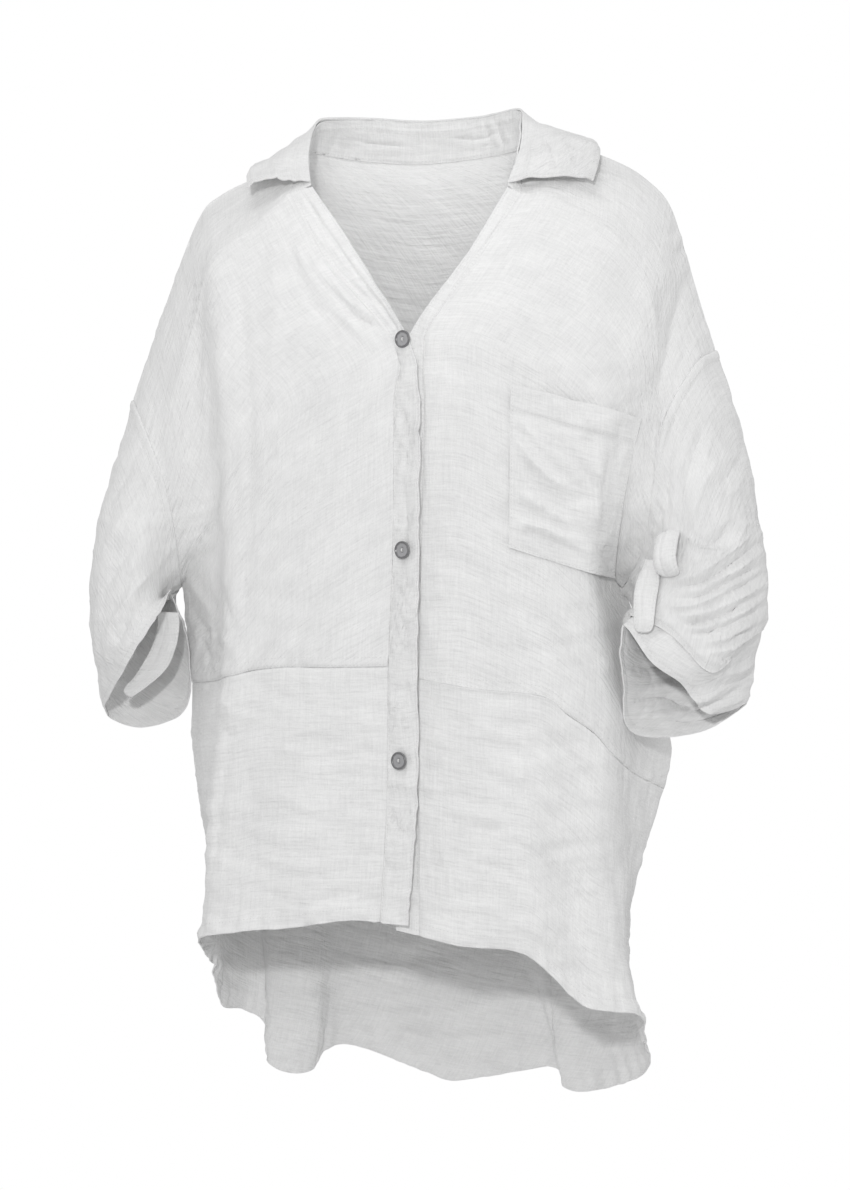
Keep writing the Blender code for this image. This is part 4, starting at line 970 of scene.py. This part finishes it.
def makePocket(front):
    tree = surfaceTree(front)
    count = pocket["cells"]
    corner = {name: np.array(place) * mm for name, place in pocket["corners"].items()}
    grid, out = np.zeros((count + 1, count + 1, 3)), np.zeros((count + 1, count + 1, 3))
    for row, down in enumerate(np.linspace(0, 1, count + 1)):
        for column, across in enumerate(np.linspace(0, 1, count + 1)):
            top = (1 - across) * corner["topInner"] + across * corner["topOuter"]
            bottom = (1 - across) * corner["bottomInner"] + across * corner["bottomOuter"]
            x, z = (1 - down) * top + down * bottom
            place, normal, _, _ = tree.ray_cast(Vector((x, -0.4, z)), Vector((0, 1, 0)))
            normal = normal if normal.y < 0 else -normal
            puff = pocket["puff"] * math.sin(math.pi * across) * math.sin(math.pi * (0.25 + 0.75 * down))
            lift = pocket["gap"] + puff + pocket["cornerLift"] * (across * down) ** 3
            grid[row, column] = place + normal * lift * mm
            out[row, column] = normal
    base = grid.copy()
    for axis in (0, 1):
        places = edgeLines(grid.shape[axis])
        grid, out = resample(grid, places, axis), resample(out, places, axis)
    gaps = edgeDistances(grid)
    calm = smoothStep(0, pocket["calm"] * mm, np.minimum(gaps["inner"], gaps["outer"]))
    calm = calm * smoothStep(0, pocket["calm"] * mm, gaps["bottom"])
    facing = {"front": np.ones(grid.shape[:2])}
    height = pocket["creased"] * creaseHeights(grid, facing, pocket["wrinkles"])
    height = (height + crinkle(grid, pocket["lively"]) + pocket["rise"] * mm) * calm
    for edge in ("inner", "outer", "bottom"):
        height += pocket["pucker"] * puckers(grid, gaps, edge)
    fold = pocket["foldDepth"] * mm
    start, end = (fold + turn * mm for turn in pocket["foldTurn"])
    height += pocket["foldStep"] * mm * smoothStep(start, end, gaps["top"])
    away = (gaps["top"] - fold - pocket["sunkInset"] * mm) / (pocket["sunkWidth"] * mm)
    height -= pocket["sunk"] * mm * calm * np.exp(-away ** 2)
    fine = grid + out * (np.maximum(height, -0.3 * mm) + linen["wall"])[..., None]
    piece = gridMesh("chestPocket", fine, out, gaps, False, linen["wall"], linenMaterial)
    declareCloth(piece, "pocket", base)
    for edge in ("inner", "outer", "bottom"):
        sew(*insetLine(fine, out, gaps, edge, pocket["stitchInset"]))
    sew(*insetLine(fine, out, gaps, "top", pocket["foldDepth"]))


makePocket(net["frontUpperLeft"])

# the roll tabs: a strap inside the right sleeve, and the left one's hanging end and puffed loop. A strap
# has its node, the way it faces, how high it arches, how long its rounded end is, its width at the start
# and at the end as shares of the full width, and its middle line. Lengths are in millimetres, and the
# crease along it is placed in widths.
tabs = {"width": 20, "wall": 1.6, "cells": 48, "lively": 1.3, "narrowStart": 26, "narrowEnd": 45,
        "tip": 0.35, "crease": 0.3, "creasePlace": 0.12, "creaseWidth": 0.07,
        "straps": {
            "tabRight": ("tab_right", (0, -1, 0), 1.2, 9, (0.9, 0.55),
                         [(-212, -48.5, -363), (-213, -45.5, -381), (-221, -42, -402),
                          (-236, -40, -420), (-251, -38, -433)]),
            "tabLeft": ("tab_left", (-0.15, -0.99, 0), 3.2, 9, (0.6, 0.85),
                         [(199.7, -70, -320), (197.2, -81.5, -336), (195.5, -89, -352.7),
                          (195, -96, -367.6), (194.7, -98, -379)]),
            "tabLoop": ("tab_loop", (-0.3, -0.95, 0), 6.5, 10, (1.0, 1.0),
                         [(216, -78, -299), (213.5, -88, -303), (212, -95, -314),
                          (213, -97, -324), (216.5, -89, -333)]),
        }}


def makeTab(name, node, facing, arch, rounding, widths, points):
    line = smoothLine(points, tabs["cells"]) * mm
    along = np.gradient(line, axis=0)
    along /= np.linalg.norm(along, axis=1, keepdims=True)
    across = np.cross(along, facing)
    across /= np.linalg.norm(across, axis=1, keepdims=True)
    outward = np.cross(across, along)
    steps = np.linspace(-0.5, 0.5, 25)
    run = np.concatenate([[0], np.cumsum(np.linalg.norm(np.diff(line, axis=0), axis=1))]) / mm
    left = np.minimum(1, (run[-1] - run) / rounding)
    if name == "tabLoop":
        left = np.minimum(left, run / rounding)
    wide = tabs["tip"] + (1 - tabs["tip"]) * np.sqrt(1 - (1 - left) ** 2)
    wide *= widths[0] + (1 - widths[0]) * smoothStep(0, tabs["narrowStart"], run)
    wide *= widths[1] + (1 - widths[1]) * smoothStep(0, tabs["narrowEnd"], run[-1] - run)
    sideways = (steps[None, :] * wide[:, None])[..., None]
    base = line[:, None, :] + across[:, None, :] * sideways * tabs["width"] * mm
    out = np.repeat(outward[:, None, :], len(steps), axis=1)
    gaps = edgeDistances(base)
    swell = np.sin(np.pi * np.linspace(0, 1, len(line)))[:, None] ** 0.5
    puff = arch * mm * (1 - (2 * steps[None, :]) ** 2) * swell
    away = (steps[None, :] - tabs["creasePlace"]) / tabs["creaseWidth"]
    puff -= tabs["crease"] * arch * mm * np.exp(-away ** 2) * swell
    fine = base + out * (tabs["wall"] * mm + crinkle(base, tabs["lively"]) + puff)[..., None]
    piece = gridMesh(name, fine, out, gaps, False, tabs["wall"] * mm, linenMaterial)
    declareCloth(piece, node, base)
    for edge in ("inner", "outer"):
        sew(*insetLine(fine, out, gaps, edge, 2, trim=1))


for name, strap in tabs["straps"].items():
    makeTab(name, *strap)
print("pocket and tabs made")

stitching = bpy.data.meshes.new("topStitching")
stitching.from_pydata(sewnPoints, [], sewnFaces)
stitching.materials.append(threadPaintedShadeMaterial)
topStitching = bpy.data.objects.new("topStitching", stitching)
bpy.context.scene.collection.objects.link(topStitching)
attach(topStitching, "root")
print(f"{len(sewnPoints) // 6} stitches sewn")

# grey pearly buttons with a raised rim, two holes and a bar of thread through them. Their colour darkens
# towards the rim and is lighter in the middle, a painted glint. A place is a height and a share of the band's
# width. The rim's points are shares of the radius and the thickness, from the underside round to the dish,
# whose floor is flat apart from the holes.
button = {"radius": 7.3, "thickness": 2.6, "standOff": 0.7, "segments": 64,
          "holeGap": 2.6, "holeRadius": 0.85, "holeDepth": 1.1, "holesFrom": 8,
          "places": [(-0.140, 0.80), (-0.312, 0.46), (-0.483, 0.46)],
          "rim": [(0.85, 0.0), (0.96, 0.18), (1.0, 0.42), (1.0, 0.72), (0.97, 0.92), (0.92, 1.0),
                  (0.86, 0.98), (0.80, 0.84), (0.74, 0.72), (0.66, 0.68)],
          "floor": 0.67, "floorRings": (0.56, 0.48, 0.40, 0.32, 0.26, 0.20, 0.14, 0.08),
          # colour stops: darker towards the rim, with the lighter middle a painted glint
          "pearlWithPaintedGlint": [(0.08, (0.50, 0.50, 0.51, 1)), (0.35, (0.33, 0.33, 0.34, 1)),
                    (0.6, (0.38, 0.38, 0.39, 1)), (0.74, (0.13, 0.13, 0.135, 1)),
                    (0.9, (0.22, 0.22, 0.225, 1))]}


def pearlPaintedGlintFinish():
    finish = Finish("greyPearlPaintedGlint", Roughness=0.22, Coat_Weight=0.6, Coat_Roughness=0.08)
    place = finish.node("ShaderNodeTexCoord", {}, {}, "Object")
    layers = finish.node("ShaderNodeTexNoise", {}, {"Vector": place, "Scale": 260.0, "Detail": 3.0,
                                                    "Distortion": 1.2})
    ring = finish.node("ShaderNodeAttribute", {"attribute_name": "ring"}, {}, "Fac")
    # tone from the rim inward: darker at the rim, and the lighter middle is a painted glint
    glintAndRimTone = ring * 0.72 + layers * 0.28
    finish.feed("Base Color", finish.node("ShaderNodeValToRGB", {"stops": button["pearlWithPaintedGlint"]}, {"Fac": glintAndRimTone}))
    bump = finish.node("ShaderNodeBump", {}, {"Strength": 0.15, "Distance": 0.0003, "Height": layers})
    finish.feed("Normal", bump)
    return finish.material


def pointAtHeight(line, height):
    order = np.argsort(line[:, 2])
    return np.array([np.interp(height, line[order, 2], line[order, axis]) for axis in range(3)])


def makeButton(number, height, share, pearlWithPaintedGlint):
    lap = net["bandRight"]
    innerEdge, outerEdge = pointAtHeight(lap[:, 0], height), pointAtHeight(lap[:, -1], height)
    slope = outerEdge - innerEdge
    facing = Vector((slope[1], -slope[0], 0)).normalized()
    place = Vector(innerEdge + slope * share) + facing * button["standOff"] * mm
    turn = facing.to_track_quat("Z", "Y")
    radius, thick = button["radius"], button["thickness"]
    profile = button["rim"] + [(width, button["floor"]) for width in button["floorRings"]]
    body = bmesh.new()
    rings = []
    segments = button["segments"]
    for ring, (width, level) in enumerate(profile):
        row = []
        for step in range(segments):
            angle = 2 * math.pi * step / segments
            x, y, z = width * radius * math.cos(angle), width * radius * math.sin(angle), level * thick
            if ring >= button["holesFrom"]:
                hole = min(math.hypot(x, y - sign * button["holeGap"] / 2) for sign in (-1, 1))
                z -= button["holeDepth"] * math.exp(-(hole / button["holeRadius"]) ** 4)
            row.append(body.verts.new((x * mm, y * mm, z * mm)))
        rings.append(row)
    for lower, upper in zip(rings, rings[1:]):
        for step in range(segments):
            beside = (step + 1) % segments
            body.faces.new((lower[step], lower[beside], upper[beside], upper[step]))
    body.faces.new(rings[0][::-1])
    body.faces.new(rings[-1])
    bmesh.ops.recalc_face_normals(body, faces=body.faces)
    mesh = bpy.data.meshes.new(f"button{number}")
    body.to_mesh(mesh)
    body.free()
    reach = [math.hypot(point.co.x, point.co.y) / (radius * mm) for point in mesh.vertices]
    mesh.attributes.new("ring", "FLOAT", "POINT").data.foreach_set("value", reach)
    mesh.transform(turn.to_matrix().to_4x4())
    mesh.materials.append(pearlWithPaintedGlint)
    mesh.shade_smooth()
    piece = bpy.data.objects.new(f"button{number}", mesh)
    piece.location = place
    bpy.context.scene.collection.objects.link(piece)
    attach(piece, "root")
    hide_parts(f"button_{number}")
    makeThread(number, place, turn, facing)


# a few strands between the holes, each a low arch whose ends drop into them
barThread = {"radius": 0.26, "offsets": (-0.45, 0.0, 0.45), "points": 9, "bow": 0.45, "drop": 0.5}


def makeThread(number, place, turn, facing):
    curve = bpy.data.curves.new(f"buttonThread{number}", "CURVE")
    curve.dimensions = "3D"
    curve.bevel_depth = barThread["radius"] * mm
    curve.bevel_resolution = 2
    floor = button["thickness"] * button["floor"]
    for offset in barThread["offsets"]:
        strand = curve.splines.new("POLY")
        strand.points.add(barThread["points"] - 1)
        for index, share in enumerate(np.linspace(-1, 1, barThread["points"])):
            bow = floor + barThread["bow"] * (1 - share ** 4) - barThread["drop"] * share ** 8
            spot = turn @ Vector((offset, share * button["holeGap"] / 2, bow)) * mm
            strand.points[index].co = (*(place + spot), 1)
    curve.materials.append(threadPaintedShadeMaterial)
    thread = bpy.data.objects.new(f"buttonThread{number}", curve)
    bpy.context.scene.collection.objects.link(thread)
    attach(thread, "root")


pearlWithPaintedGlint = pearlPaintedGlintFinish()
for number, (height, share) in enumerate(button["places"], start=1):
    makeButton(number, height, share, pearlWithPaintedGlint)
print("buttons made")

# camera at the photograph's angle, a pale floor below and soft studio light. A light has its name, its
# azimuth and height in degrees, its distance, size and power.
studio = {"azimuth": 9, "distance": 2.7, "target": (0, 0, -0.3485), "frameHeight": 1.0115, "sensor": 36,
          "lights": [("key", 4, 11, 3.0, 0.14, 24), ("rake", -14, 62, 2.2, 0.9, 5),
                     ("sideLeft", 78, 18, 2.2, 1.2, 5), ("sideRight", -64, 18, 2.2, 1.2, 2)],
          "neck": {"azimuth": 3, "height": 14, "distance": 3.0, "power": 60, "aim": (-0.015, 0.06, -0.03),
                   "angle": 5.5, "softness": 0.1},
          "fill": 0.52, "floorHeight": -1.3, "floorRadius": 1.2}


def around(azimuth, height, distance):
    turn, tilt = math.radians(azimuth), math.radians(height)
    away = Vector((math.sin(turn) * math.cos(tilt), -math.cos(turn) * math.cos(tilt), math.sin(tilt)))
    return Vector(studio["target"]) + away * distance, away


camera = bpy.data.cameras.new("camera")
camera.sensor_width = studio["sensor"]
camera.lens = studio["sensor"] * studio["distance"] / studio["frameHeight"]
cameraObject = bpy.data.objects.new("camera", camera)
bpy.context.scene.collection.objects.link(cameraObject)
cameraObject.location, away = around(studio["azimuth"], 0, studio["distance"])
cameraObject.rotation_euler = away.to_track_quat("Z", "Y").to_euler()
bpy.context.scene.camera = cameraObject


def placeLight(name, kind, azimuth, height, distance, power, aim):
    light = bpy.data.lights.new(name, kind)
    light.energy = power
    lightObject = bpy.data.objects.new(name, light)
    bpy.context.scene.collection.objects.link(lightObject)
    lightObject.location, _ = around(azimuth, height, distance)
    lightObject.rotation_euler = (lightObject.location - Vector(aim)).to_track_quat("Z", "Y").to_euler()
    return light


for name, azimuth, height, distance, size, power in studio["lights"]:
    placeLight(name, "AREA", azimuth, height, distance, power, studio["target"]).size = size
neck = studio["neck"]
neckLight = placeLight("neck", "SPOT", neck["azimuth"], neck["height"], neck["distance"],
                       neck["power"], neck["aim"])
neckLight.spot_size, neckLight.spot_blend = math.radians(neck["angle"]), 1
neckLight.shadow_soft_size = neck["softness"]

world = bpy.data.worlds.new("studio")
bpy.context.scene.world = world
world.use_nodes = True
worldNodes = world.node_tree.nodes
worldNodes["Background"].inputs["Color"].default_value = (1, 1, 1, 1)
seen = worldNodes.new("ShaderNodeLightPath")
brightness = worldNodes.new("ShaderNodeMapRange")
brightness.inputs["To Min"].default_value = studio["fill"]
brightness.inputs["To Max"].default_value = 1.0
world.node_tree.links.new(seen.outputs["Is Camera Ray"], brightness.inputs["Value"])
world.node_tree.links.new(brightness.outputs["Result"], worldNodes["Background"].inputs["Strength"])
bpy.context.scene.view_settings.view_transform = "Standard"

bpy.ops.mesh.primitive_circle_add(vertices=96, radius=studio["floorRadius"], fill_type="NGON",
                                  location=(0, 0, studio["floorHeight"]))
floorDisc = bpy.context.object
floorDisc.name = "paleFloor"
floorDisc.data.materials.append(Finish("paleFloor", Base_Color=(0.82, 0.82, 0.82, 1), Roughness=0.9).material)
print("studio set")
